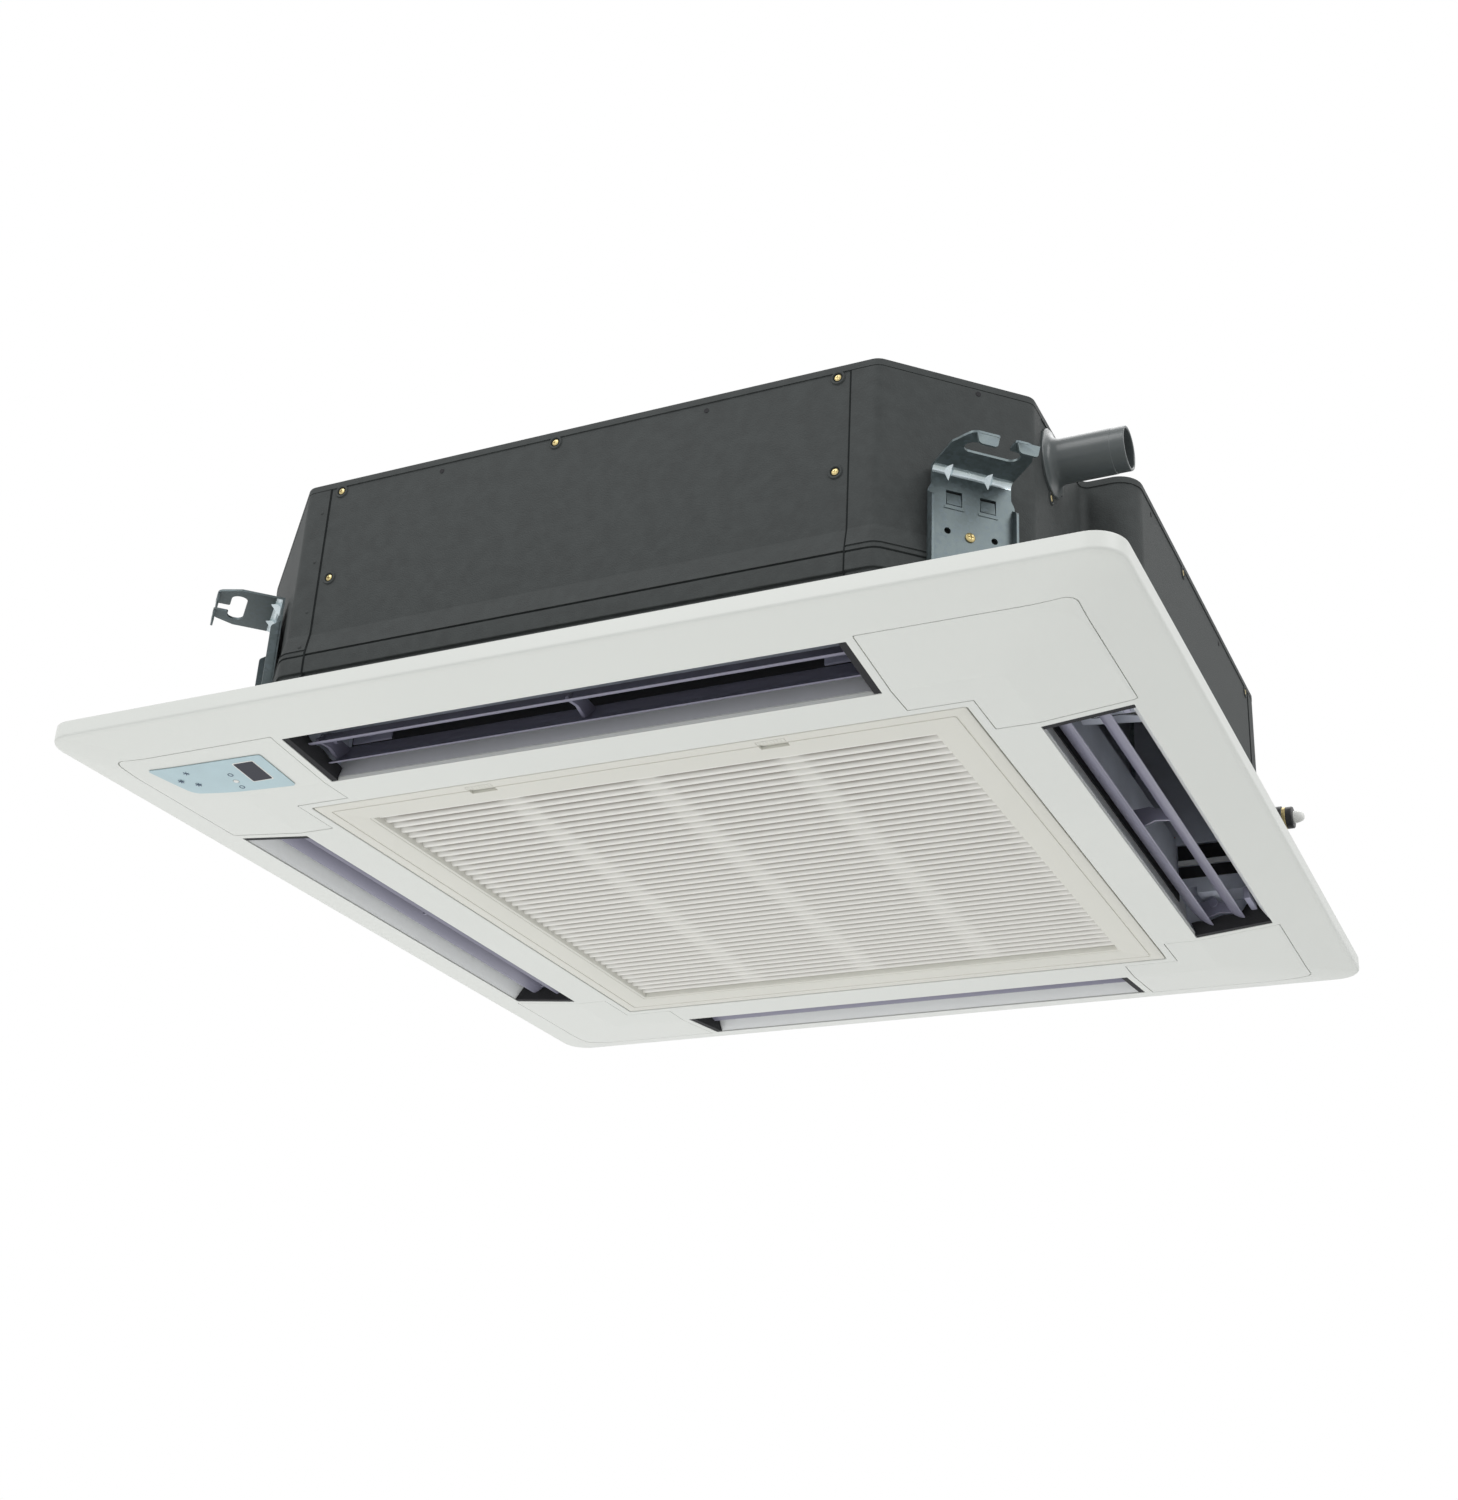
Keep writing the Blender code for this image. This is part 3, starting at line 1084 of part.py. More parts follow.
def build_intake_grille():
    at = Matrix.Translation((0, HINGE_Y, HINGE_Z))
    back = at.inverted()
    border_top = FACE_Z + BORDER_SHEET
    rim_top = FIELD_Z + FIELD_DEPTH
    inner = FIELD_HALF
    wall = BORDER_SHEET
    ease = 0.0006
    rows = [(GRILLE_HALF, HINGE_SIDE_HALF, FACE_Z + ease, 0.002),
            (GRILLE_HALF, HINGE_SIDE_HALF, rim_top, 0.002),
            (GRILLE_HALF - wall, HINGE_SIDE_HALF - wall, rim_top, 0.001),
            (GRILLE_HALF - wall, HINGE_SIDE_HALF - wall, border_top, 0.001),
            (inner + wall, inner + wall, border_top, 0.001), (inner + wall, inner + wall, rim_top, 0.001),
            (inner, inner, rim_top, 0.001), (inner, inner, FACE_Z, 0.001),
            (GRILLE_HALF - ease, HINGE_SIDE_HALF - ease, FACE_Z, 0.002)]
    rings = rings_at([(grille_outline(half, far, radius), z) for half, far, z, radius in rows])
    border = stack(bmesh.new(), rings, True)
    field = grille_field(bmesh.new())
    ribs = bmesh.new()
    for x in RIB_X:
        box((x - RIB_WIDTH / 2, -inner - 0.001, rim_top - RIB_DEPTH),
            (x + RIB_WIDTH / 2, inner + 0.001, rim_top - 0.0002), ribs)
    slots = bmesh.new()
    half = LATCH_WIDTH / 2 - 0.004
    for x in (-LATCH_X, LATCH_X):
        box((x - half, LATCH_KNOB_Y - 0.0032, FACE_Z - 0.002),
            (x + half, LATCH_KNOB_Y + 0.0032 + LATCH_TRAVEL, border_top + 0.001), slots)
    pins = bmesh.new()
    for sign in (-1, 1):
        rod((sign * (GRILLE_HALF - 0.004), HINGE_Y, HINGE_Z),
            (sign * (OPENING_HALF + 0.0022), HINGE_Y, HINGE_Z), HINGE_PIN, 8, pins)
    for bm in (border, field, ribs, slots, pins):
        bmesh.ops.transform(bm, matrix=back, verts=bm.verts[:])
    grille = add_piece("intake_grille", border, WHITE, at)
    join(grille, field)
    join(grille, ribs)
    cut(grille, slots)
    join(grille, pins)


def build_latches():
    """Sliders that lie on the grille's border; the nose's slopes let it snap over the flange both ways."""
    seat = FLANGE_TOP + GAP
    tip = (-OPENING_HALF - NOSE_REACH, seat + NOSE_SLOPE * (NOSE_REACH + NOSE_PLAY))
    back = LATCH_FRONT + 0.0022
    nose_top = tip[1] + 0.0038
    start = seat - NOSE_SLOPE * (LATCH_FRONT + OPENING_HALF - NOSE_PLAY)
    nose = [(back, LATCH_Z + 0.0002), (LATCH_FRONT, LATCH_Z + 0.0002), (LATCH_FRONT, start), tip,
            (tip[0] + 0.0030, nose_top), (back, nose_top)]
    for name, sign in (("grille_latch_left", -1), ("grille_latch_right", 1)):
        middle = sign * LATCH_X
        half = LATCH_WIDTH / 2
        base = box((middle - half, LATCH_FRONT, LATCH_Z),
                   (middle + half, -OPENING_HALF + 0.018, LATCH_Z + LATCH_SHEET))
        latch = add_piece(name, base, WHITE)
        half -= 0.0045
        join(latch, box((middle - half, LATCH_KNOB_Y - 0.0028, FACE_Z - 0.0002),
                        (middle + half, LATCH_KNOB_Y + 0.0028, LATCH_Z + LATCH_SHEET / 2)))
        rings = [[(middle + side * 0.010, y, z) for y, z in nose] for side in (-1, 1)]
        join(latch, stack(bmesh.new(), rings))


def build_air_filter():
    """Washable filter: a thin net in a ribbed frame that lies on the slats."""
    at = Matrix.Translation((0, HINGE_Y, HINGE_Z))
    low = FIELD_Z + FIELD_DEPTH + GAP
    net = box((-FILTER_HALF, -FILTER_HALF, low), (FILTER_HALF, FILTER_HALF, low + 0.0008))
    ribs = bmesh.new()
    long_ribs = bmesh.new()
    end = FILTER_HALF - 0.001
    for line in (-FILTER_HALF + 0.005, 0.0, FILTER_HALF - 0.005):
        box((line - 0.003, -end, low + 0.0004), (line + 0.003, end, low + 0.0032), ribs)
        box((-end, line - 0.003, low + 0.0003), (end, line + 0.003, low + 0.0029), long_ribs)
    for bm in (net, ribs, long_ribs):
        bmesh.ops.transform(bm, matrix=at.inverted(), verts=bm.verts[:])
    filter_piece = add_piece("air_filter", net, GREY, at)
    join(filter_piece, ribs)
    join(filter_piece, long_ribs)


# Hangers

def build_hangers():
    """Bent steel bracket on each chamfer, with an open slot that hooks over a threaded rod."""
    face = CHAMFER_DISTANCE + GAP
    half = HANGER_WIDTH / 2
    out = face + HANGER_SHEET
    end = face + HANGER_REACH
    at = chamfer_matrix() @ Matrix.Translation((0, HANGER_SHIFT, 0))
    plate = box((face, -half, HANGER_BOTTOM), (out, half, HANGER_TOP))
    first = add_piece("hanger_near_right", plate, ZINC, at)
    slot_mid = face + HANGER_SLOT_OUT
    low = slot_mid - HANGER_SLOT_WIDTH / 2
    high = slot_mid + HANGER_SLOT_WIDTH / 2
    reach = HANGER_SLOT_LENGTH / 2
    mouth = HANGER_MOUTH / 2
    middle = 0.004
    flange = rounded_polygon([
        (face, -half, 0), (end - 0.020, -half, 0), (end, -half + 0.012, 0.006), (end, middle - mouth, 0),
        (high, middle - mouth, 0), (high, -reach, 0.006), (low, -reach, 0.006), (low, reach, 0.006),
        (high, reach, 0.006), (high, middle + mouth, 0), (end, middle + mouth, 0), (end, half - 0.012, 0.006),
        (end - 0.020, half, 0), (face, half, 0)], 1)
    join(first, prism(flange, HANGER_TOP - HANGER_SHEET, HANGER_TOP))
    ears = bmesh.new()
    for start, stop in ((middle - mouth - 0.020, middle - mouth - 0.0002),
                        (middle + mouth + 0.0002, middle + mouth + 0.020)):
        box((end - HANGER_SHEET, start, HANGER_TOP - 0.011), (end - 0.0002, stop, HANGER_TOP - 0.0008), ears)
    join(first, ears)
    windows = bmesh.new()
    for y in (-0.015, 0.017):
        box((face - 0.004, y - 0.0075, HANGER_TOP - 0.046),
            (out + 0.004, y + 0.0075, HANGER_TOP - 0.028), windows)
    cut(first, windows)
    for name, (sx, sy) in CORNERS.items():
        if name != "near_right":
            mirror = Matrix.Diagonal((sx, sy, 1, 1))
            settled_copy(first, "hanger_" + name, ZINC, Matrix(), mirror @ at)


build_casing_wall()
build_top_plate()
build_casing_liner()
build_drain_pan()
build_coil()
build_coil_plate("coil_plate_right", False)
build_coil_plate("coil_plate_far", True)
build_pipes()
build_drain_pump()
build_float_switch()
build_drain_hose()
build_drain_stub()
build_fan()
build_fan_motor()
build_bell_mouth()
build_electric_box()
build_panel_frame()
build_corner_covers()
build_display()
for side_name in SIDES:
    build_outlet_guide(side_name)
    build_swing_motor(side_name)
build_louvers()
build_intake_grille()
build_latches()
build_air_filter()
build_hangers()
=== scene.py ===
"""Looks of the four-way ceiling cassette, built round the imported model.

Metres, +Z up. The origin is the centre of the ceiling plane and the near side is -Y. Along each side of the
panel, s points outward, t along the side and z up.
"""

import math

import bmesh
import bpy
from mathutils import Matrix, Vector


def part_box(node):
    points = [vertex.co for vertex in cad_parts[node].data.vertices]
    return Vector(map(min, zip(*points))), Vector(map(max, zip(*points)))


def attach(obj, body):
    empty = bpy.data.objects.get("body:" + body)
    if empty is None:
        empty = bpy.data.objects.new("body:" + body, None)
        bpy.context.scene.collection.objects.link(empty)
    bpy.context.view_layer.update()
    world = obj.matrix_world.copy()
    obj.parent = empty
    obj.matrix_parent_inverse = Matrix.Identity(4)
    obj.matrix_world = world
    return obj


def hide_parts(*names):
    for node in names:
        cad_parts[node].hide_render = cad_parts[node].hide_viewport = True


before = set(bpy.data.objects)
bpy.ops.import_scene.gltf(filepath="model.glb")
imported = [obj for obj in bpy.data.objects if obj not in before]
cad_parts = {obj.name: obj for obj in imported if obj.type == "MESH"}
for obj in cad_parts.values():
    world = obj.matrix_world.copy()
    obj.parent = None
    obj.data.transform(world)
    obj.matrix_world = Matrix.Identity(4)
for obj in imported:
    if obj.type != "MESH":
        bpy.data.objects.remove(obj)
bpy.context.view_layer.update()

ROOT2 = math.sqrt(2)
TOWARD_X = Matrix.Rotation(math.radians(90), 4, "Y")
SIDES = {"right": 0, "far": 90, "left": 180, "near": 270}
CORNERS = {"near_right": (1, 1), "near_left": (-1, 1), "far_right": (1, -1), "far_left": (-1, -1)}

# Casing
GAP = 0.0003
SHEET = 0.0015
CASING_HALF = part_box("casing_wall")[1].x
CASING_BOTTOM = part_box("casing_wall")[0].z
WALL_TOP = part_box("casing_wall")[1].z
CASING_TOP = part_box("top_plate")[1].z
CHAMFER_DISTANCE = CASING_HALF * ROOT2 - 0.10327
UPPER_INSET = 0.004
BAND_TOP = 0.076
BAND_LOW = 0.057
SKIRT_TOP = 0.038
SKIRT_INSET = 0.0015
BEND_RADIUS = 0.016
RECESS_X = CASING_HALF - 0.048
RECESS_Y = 0.233 - CASING_HALF
RECESS_ROUND = 0.025
MOTOR_DISH_RADIUS = 0.112
MOTOR_DISH_DEPTH = 0.004
LID_EDGE = 0.2235
SEAM = 0.25
OVERLAY = 0.0007
OVERLAY_TOP = 0.223
OVERLAY_BOTTOM = 0.004
RECESS_SHEET_END = -0.3
UPPER_GROOVE = 0.06
LOWER_GROOVE = 0.055
SCREW_SHIFT = 0.238
SCREW_TOP = 0.219
SCREW_LOW = 0.131
PIPE_Y = 0.25
PIPE_HEIGHTS = (0.08, 0.038)
STUB_Y = -0.273
STUB_Z = 0.195

# Panel
PANEL_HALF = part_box("panel_frame")[1].x
FACE_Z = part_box("panel_frame")[0].z
RIM_HEIGHT = 0.0125
SLOPE_HALF = PANEL_HALF - 0.048
SLOPE_Z = FACE_Z + 0.0075
SLOT_OUTER = SLOPE_HALF - 0.0013
SLOT_INNER = SLOT_OUTER - 0.075
SLOT_HALF = PANEL_HALF - 0.22
FACE_HALF = SLOT_INNER + 0.0013
OPENING_HALF = SLOT_INNER - 0.0427
SKIN = 0.0035
RIM_WALL = 0.0028
FLANGE_TOP = FACE_Z + 0.0215
FLANGE_WALL = 0.003

# Outlets
GUIDE_TOP = 0.002
GUIDE_INNER = SLOT_INNER - 0.0112
DUCT_INNER = SLOT_INNER - 0.0087
DUCT_OUTER = SLOT_OUTER - 0.0142
RIGHT_DUCT_END = SLOT_HALF - 0.03
END_WALL = 0.003
LOUVER_HALF = SLOT_HALF - 0.008
PIVOT_S = SLOT_INNER + 0.0213
PIVOT_Z = -0.004
PIN_RADIUS = 0.003

# Corner covers and display
COVER_NEAR = SLOT_HALF + 0.007
COVER_FAR = PANEL_HALF - 0.044
COVER_NOTCH = OPENING_HALF + 0.008
COVER_GAP = 0.0009
COVER_THICKNESS = 0.0013
LEDGE = 0.007
LABEL_X = (-COVER_FAR + 0.023, -COVER_FAR + 0.142)
LABEL_Y = (-COVER_FAR + 0.018, -COVER_FAR + 0.075)
BUTTON_X = LABEL_X[0] + 0.07
BUTTON_Y = LABEL_Y[1] - 0.021
BUTTON_RADIUS = 0.0026

# Intake grille
GRILLE_HALF = OPENING_HALF - 0.0015
HINGE_SIDE_HALF = GRILLE_HALF - 0.001
FIELD_HALF = GRILLE_HALF - 0.039
FIELD_Z = FACE_Z + 0.005
FIELD_DEPTH = 0.0105
BORDER_SHEET = 0.0025
SLAT_ROWS = 43
SLAT_PITCH = 2 * FIELD_HALF / SLAT_ROWS
SLAT_LEAN = 0.006
SLAT_WALL = 0.0042
SLAT_DEPTH = 0.0078
HINGE_Y = HINGE_SIDE_HALF - 0.003
HINGE_Z = FACE_Z + 0.0043
HINGE_PIN = 0.0015
LATCH_X = FIELD_HALF - 0.1295
LATCH_WIDTH = 0.034
LATCH_SHEET = 0.0018
LATCH_Z = FACE_Z + BORDER_SHEET + GAP
LATCH_FRONT = -GRILLE_HALF + BORDER_SHEET + GAP
LATCH_KNOB_Y = -OPENING_HALF + 0.0085
LATCH_TRAVEL = 0.008
NOSE_REACH = 0.0018
NOSE_PLAY = 0.0015
NOSE_SLOPE = 2.2

# Fan and inlet
FAN_RADIUS = 0.212
FAN_INLET = 0.163
FAN_BOTTOM = 0.0465
FAN_TOP = CASING_TOP - 0.027
FAN_BLADES = 7
FAN_SHEET = 0.0025
BLADE_SWEEP = 12.0
ROOT_RADIUS = FAN_INLET - 0.045
CUP_RADIUS = 0.084
CUP_FLOOR = FAN_TOP - 0.053
SHAFT_RADIUS = 0.005
THROAT_RADIUS = FAN_INLET - 0.005
FLARE_RADIUS = THROAT_RADIUS + 0.018
THROAT_TOP = FAN_BOTTOM - 0.0025
PAN_OPENING_HALF = CASING_HALF - 0.168
BOX_X = (-PAN_OPENING_HALF + 0.002, -FLARE_RADIUS - 0.008)
BOX_HALF = 0.1

# Hangers
HANGER_SHIFT = -0.0235
HANGER_HALF = 0.037
HANGER_SHEET = 0.002
HANGER_TOP = 0.139
HANGER_UNDER = HANGER_TOP - HANGER_SHEET
HANGER_BOTTOM = 0.006
HANGER_FACE = CHAMFER_DISTANCE + GAP
HANGER_OUT = HANGER_FACE + HANGER_SHEET
HANGER_END = HANGER_FACE + 0.058
HANGER_SLOT_LENGTH = 0.046
HANGER_SLOT_WIDTH = 0.014
HANGER_SLOT_OUT = 0.038
HANGER_MOUTH = 0.013
HANGER_MOUTH_MIDDLE = 0.004
HANGER_WINDOWS = (-0.015, 0.014)

# Heights between which upright tools cut
CUT_LOW = -0.06
CUT_HIGH = 0.0

# Camera
CAMERA_AT = (0.779, -1.6638, -0.7404)
CAMERA_FORWARD = (-0.4038, 0.8126, 0.4202)
CAMERA_ROLL = 3.06
CAMERA_LENS = 49.38


# Materials

def feed(tree, node, inputs):
    """Sets a node's inputs, each to a value or to the output socket that drives it."""
    for name, value in inputs.items():
        if isinstance(value, bpy.types.NodeSocket):
            tree.links.new(value, node.inputs[name])
        else:
            node.inputs[name].default_value = value


def add_node(tree, kind, inputs, **settings):
    """A new shader node of this kind with its settings and inputs."""
    node = tree.nodes.new("ShaderNode" + kind)
    for name, value in settings.items():
        setattr(node, name, value)
    feed(tree, node, inputs)
    return node


def noise(tree, place, scale, detail):
    return add_node(tree, "TexNoise", {"Vector": place, "Scale": scale, "Detail": detail}).outputs["Fac"]


def remap(tree, value, to_low, to_high, from_low=0.0, from_high=1.0, interpolation="LINEAR"):
    """The value carried from one range to another."""
    node = add_node(tree, "MapRange", {"Value": value}, interpolation_type=interpolation)
    feed(tree, node, {"From Min": from_low, "From Max": from_high, "To Min": to_low, "To Max": to_high})
    return node.outputs["Result"]


def relief(tree, height, strength, depth):
    """A normal that follows the height; the depth is in metres."""
    bump = add_node(tree, "Bump", {"Height": height, "Strength": strength, "Distance": depth})
    return bump.outputs["Normal"]


def ramp(tree, value, stops):
    """A colour that runs through its (position, colour) stops as the value rises."""
    node = add_node(tree, "ValToRGB", {"Fac": value})
    elements = node.color_ramp.elements
    for element, (position, colour) in zip(elements, (stops[0], stops[-1])):
        element.position = position
        element.color = (*colour, 1.0)
    for position, colour in stops[1:-1]:
        elements.new(position).color = (*colour, 1.0)
    return node.outputs["Color"]


def new_material(name, surface):
    """A material whose shader takes the inputs that surface(node tree, object coordinates) returns."""
    made = bpy.data.materials.new(name)
    made.use_nodes = True
    tree = made.node_tree
    place = add_node(tree, "TexCoord", {}).outputs["Object"]
    feed(tree, tree.nodes["Principled BSDF"], surface(tree, place))
    return made


def plain_finish(name, colour, roughness, grain=(600.0, 0.06, 0.0002), mottle=(0.04, 14.0), metallic=0.0,
        specular=0.5):
    """Slightly cloudy colour and gloss with a fine grain.

    The grain holds its scale, strength and depth, the mottle how far the colour strays and its scale.
    """
    def surface(tree, place):
        clouds = noise(tree, place, mottle[1], 6.0)
        dark, light = ([min(1.0, channel * (1 + stray)) for channel in colour]
            for stray in (-mottle[0], mottle[0]))
        return {"Base Color": ramp(tree, clouds, [(0.3, dark), (0.7, light)]),
            "Roughness": remap(tree, clouds, max(0.02, roughness - 0.06), min(1.0, roughness + 0.06)),
            "Metallic": metallic, "Specular IOR Level": specular,
            "Normal": relief(tree, noise(tree, place, grain[0], 3.0), *grain[1:])}
    return new_material(name, surface)


def cell_finish(name, colours, roughness, metallic, scale):
    """A finish of small cells, such as zinc crystals, with a colour of its own in each cell."""
    def surface(tree, place):
        cells = add_node(tree, "TexVoronoi", {"Vector": place, "Scale": scale}).outputs["Color"]
        stops = [(i / (len(colours) - 1), colour) for i, colour in enumerate(colours)]
        return {"Base Color": ramp(tree, cells, stops), "Metallic": metallic,
            "Roughness": remap(tree, cells, roughness - 0.08, roughness + 0.1)}
    return new_material(name, surface)


def striped_finish(name, colour, dark, roughness, metallic, scale, direction):
    """Close parallel lines, such as a coil's fins or the threads of a net."""
    def surface(tree, place):
        inputs = {"Vector": place, "Scale": scale, "Distortion": 0.4}
        lines = add_node(tree, "TexWave", inputs, bands_direction=direction).outputs["Fac"]
        return {"Base Color": ramp(tree, lines, [(0.25, dark), (0.6, colour)]), "Roughness": roughness,
            "Metallic": metallic, "Normal": relief(tree, lines, 0.4, 0.0006)}
    return new_material(name, surface)


def slat_surface(tree, place):
    """Cream slats with painted shade in the depth of their gaps, fading out at the three ribs behind them."""
    parts = add_node(tree, "SeparateXYZ", {"Vector": place}).outputs
    depth = remap(tree, parts["Z"], 0.0, 1.0, FIELD_Z + 0.0006, FIELD_Z + 0.0034, "SMOOTHSTEP")
    to_rib = add_node(tree, "Math", {0: parts["X"], 1: FIELD_HALF / 4}, operation="PINGPONG").outputs[0]
    away = remap(tree, to_rib, 0.35, 1.0, 0.004, 0.02, "SMOOTHSTEP")
    shade = add_node(tree, "Math", {0: depth, 1: away}, operation="MULTIPLY").outputs[0]
    uneven = remap(tree, noise(tree, place, 30.0, 5.0), 0.75, 1.15)
    amount = add_node(tree, "Math", {0: shade, 1: uneven}, operation="MULTIPLY", use_clamp=True).outputs[0]
    # The ramp paints shade: cream at the noses, tan-grey deep in the gaps.
    return {"Base Color": ramp(tree, amount, [(0.0, (0.75, 0.738, 0.695)), (1.0, (0.3, 0.27, 0.235))]),
        "Roughness": 0.5}


CHARCOAL = plain_finish("charcoal_paint", (0.045, 0.0495, 0.049), 0.66, (700.0, 0.6, 0.0006), (0.14, 90.0),
    specular=0.22)
# Near-black of the dark seam joints, also used as painted shade round the screws.
SEAM_AND_SHADE_DARK = plain_finish("seam_dark", (0.012, 0.014, 0.014), 0.8, (700.0, 0.3, 0.0003), (0.2, 90.0),
    specular=0.1)
PANEL_WHITE = plain_finish("panel_white", (0.69, 0.7, 0.664), 0.42, (500.0, 0.05, 0.0002), (0.012, 5.0))
GRILLE_WHITE = plain_finish("grille_cream", (0.665, 0.655, 0.595), 0.45, (500.0, 0.05, 0.0002), (0.015, 6.0))
SMALL_WHITE = plain_finish("small_white", (0.72, 0.72, 0.69), 0.4)
# Slat material with painted shade in the gaps.
SLAT_PAINTED_SHADE = new_material("grille_slats", slat_surface)
LABEL_BLUE = plain_finish("label_blue", (0.42, 0.545, 0.58), 0.38, (800.0, 0.04, 0.0001), (0.03, 40.0))
WINDOW_DARK = plain_finish("window_dark", (0.014, 0.015, 0.028), 0.4, (900.0, 0.02, 0.0002), specular=0.25)
INK = plain_finish("ink", (0.045, 0.075, 0.125), 0.5, (900.0, 0.02, 0.0002))
ZINC = cell_finish("galvanised", [(0.3, 0.37, 0.4), (0.46, 0.54, 0.57), (0.62, 0.7, 0.72)], 0.34, 0.75, 130.0)
HANGER_ZINC = cell_finish("hanger_zinc", [(0.085, 0.108, 0.112), (0.105, 0.132, 0.137), (0.13, 0.162, 0.178)],
    0.4, 0.55, 320.0)
# Bright zinc that paints the highlight along the hangers' bends.
BEND_PAINTED_HIGHLIGHT = plain_finish("burnished_zinc", (0.66, 0.74, 0.77), 0.25, (300.0, 0.1, 0.0002), (0.1, 60.0), 0.8)
LINER = plain_finish("liner_foam", (0.5, 0.53, 0.58), 0.9, (700.0, 0.5, 0.0006), (0.08, 60.0))
# Near-black foam of the seals and pads, also used as painted shade on the ducts' inner walls and in the sheet
# holes.
BLACK_FOAM_AND_SHADE = plain_finish("black_foam", (0.012, 0.012, 0.014), 0.85, (900.0, 0.6, 0.0005), (0.2, 90.0))
VANE = plain_finish("vane_plastic", (0.215, 0.21, 0.275), 0.36, (600.0, 0.05, 0.0002), (0.05, 20.0))
LIP = plain_finish("lip_white", (0.73, 0.74, 0.735), 0.4, (600.0, 0.05, 0.0002), (0.02, 12.0))
# Real bearing blocks, in a lighter copy of the vane lilac that paints light on them.
BEARING_LIT_LILAC = plain_finish("bearing_lilac", (0.33, 0.33, 0.42), 0.4)
DUCT = plain_finish("duct_grey", (0.6, 0.63, 0.71), 0.5, (500.0, 0.1, 0.0003), (0.1, 24.0))
BLACK = plain_finish("black_plastic", (0.02, 0.02, 0.022), 0.45, (500.0, 0.08, 0.0002))
PIPE_GREY = plain_finish("pipe_grey", (0.078, 0.089, 0.09), 0.3, (300.0, 0.05, 0.0002), (0.06, 30.0))
RUBBER = plain_finish("rubber", (0.035, 0.036, 0.038), 0.7, (500.0, 0.15, 0.0002))
COPPER = plain_finish("copper", (0.62, 0.29, 0.16), 0.3, (300.0, 0.05, 0.0002), (0.12, 30.0), 1.0)
BRASS = plain_finish("brass", (0.5, 0.41, 0.2), 0.34, (400.0, 0.05, 0.0002), (0.1, 60.0), 1.0)
FINS = striped_finish("aluminium_fins", (0.56, 0.57, 0.58), (0.1, 0.1, 0.11), 0.35, 0.9, 90.0, "X")
BOARD = plain_finish("board_green", (0.035, 0.165, 0.075), 0.4, (500.0, 0.08, 0.0002), (0.15, 90.0))
NET = striped_finish("filter_net", (0.3, 0.27, 0.24), (0.09, 0.08, 0.075), 0.8, 0.0, 130.0, "DIAGONAL")


# Shapes

def stack(bm, rings, closed=False):
    """Skins a series of equal rings of points, capping the two ends, or joining them when closed."""
    made = [[bm.verts.new(point) for point in ring] for ring in rings]
    pairs = list(zip(made, made[1:]))
    if closed:
        pairs.append((made[-1], made[0]))
    for lower, upper in pairs:
        for i in range(len(lower)):
            j = (i + 1) % len(lower)
            bm.faces.new((lower[i], lower[j], upper[j], upper[i]))
    if not closed:
        bm.faces.new(made[0])
        bm.faces.new(made[-1])
    return bm


def rings_at(levels):
    """Flat outlines lifted to their heights."""
    return [[(x, y, z) for x, y in outline] for outline, z in levels]


def prism(outline, low, high, bm=None):
    """Extrudes a flat outline of (x, y) points along z."""
    return stack(bm or bmesh.new(), rings_at([(outline, low), (outline, high)]))


def box(low, high, bm=None):
    x0, y0, z0 = low
    x1, y1, z1 = high
    return prism([(x0, y0), (x1, y0), (x1, y1), (x0, y1)], z0, z1, bm)


def side_prism(section, start, end, bm=None):
    """Extrudes a section of (s, z) points along t."""
    rings = [[(s, t, z) for s, z in section] for t in (start, end)]
    return stack(bm or bmesh.new(), rings)


def cross_prism(section, start, end, bm=None):
    """Extrudes a section of (y, z) points along x."""
    rings = [[(x, y, z) for y, z in section] for x in (start, end)]
    return stack(bm or bmesh.new(), rings)


def span(sign, start, end):
    """Two distances to one side of the middle, the lower one first."""
    return sorted((sign * start, sign * end))


def rounded_polygon(corners, steps=12):
    """A closed outline through (x, y, radius) corners; a square corner's arc has this many steps."""
    points = []
    for i, (x, y, radius) in enumerate(corners):
        if radius == 0:
            points.append((x, y))
            continue
        corner = Vector((x, y))
        back = (Vector(corners[i - 1][:2]) - corner).normalized()
        ahead = (Vector(corners[(i + 1) % len(corners)][:2]) - corner).normalized()
        half = back.angle(ahead) / 2
        centre = corner + (back + ahead).normalized() * (radius / math.sin(half))
        start = corner + back * (radius / math.tan(half)) - centre
        end = corner + ahead * (radius / math.tan(half)) - centre
        turn = math.copysign(start.angle(end), start.x * end.y - start.y * end.x)
        facets = max(1, math.ceil(steps * abs(turn) / math.radians(95)))
        for k in range(facets + 1):
            angle = turn * k / facets
            points.append((centre.x + start.x * math.cos(angle) - start.y * math.sin(angle),
                centre.y + start.x * math.sin(angle) + start.y * math.cos(angle)))
    return points


def rounded_box(x0, y0, x1, y1, radius, steps=6):
    return rounded_polygon([(x0, y0, radius), (x1, y0, radius), (x1, y1, radius), (x0, y1, radius)], steps)


def rounded_square(half, radius):
    return rounded_box(-half, -half, half, half, radius, 12)


def circle(radius, segments, x=0.0, y=0.0):
    angles = [math.tau * i / segments for i in range(segments)]
    return [(x + radius * math.cos(angle), y + radius * math.sin(angle)) for angle in angles]


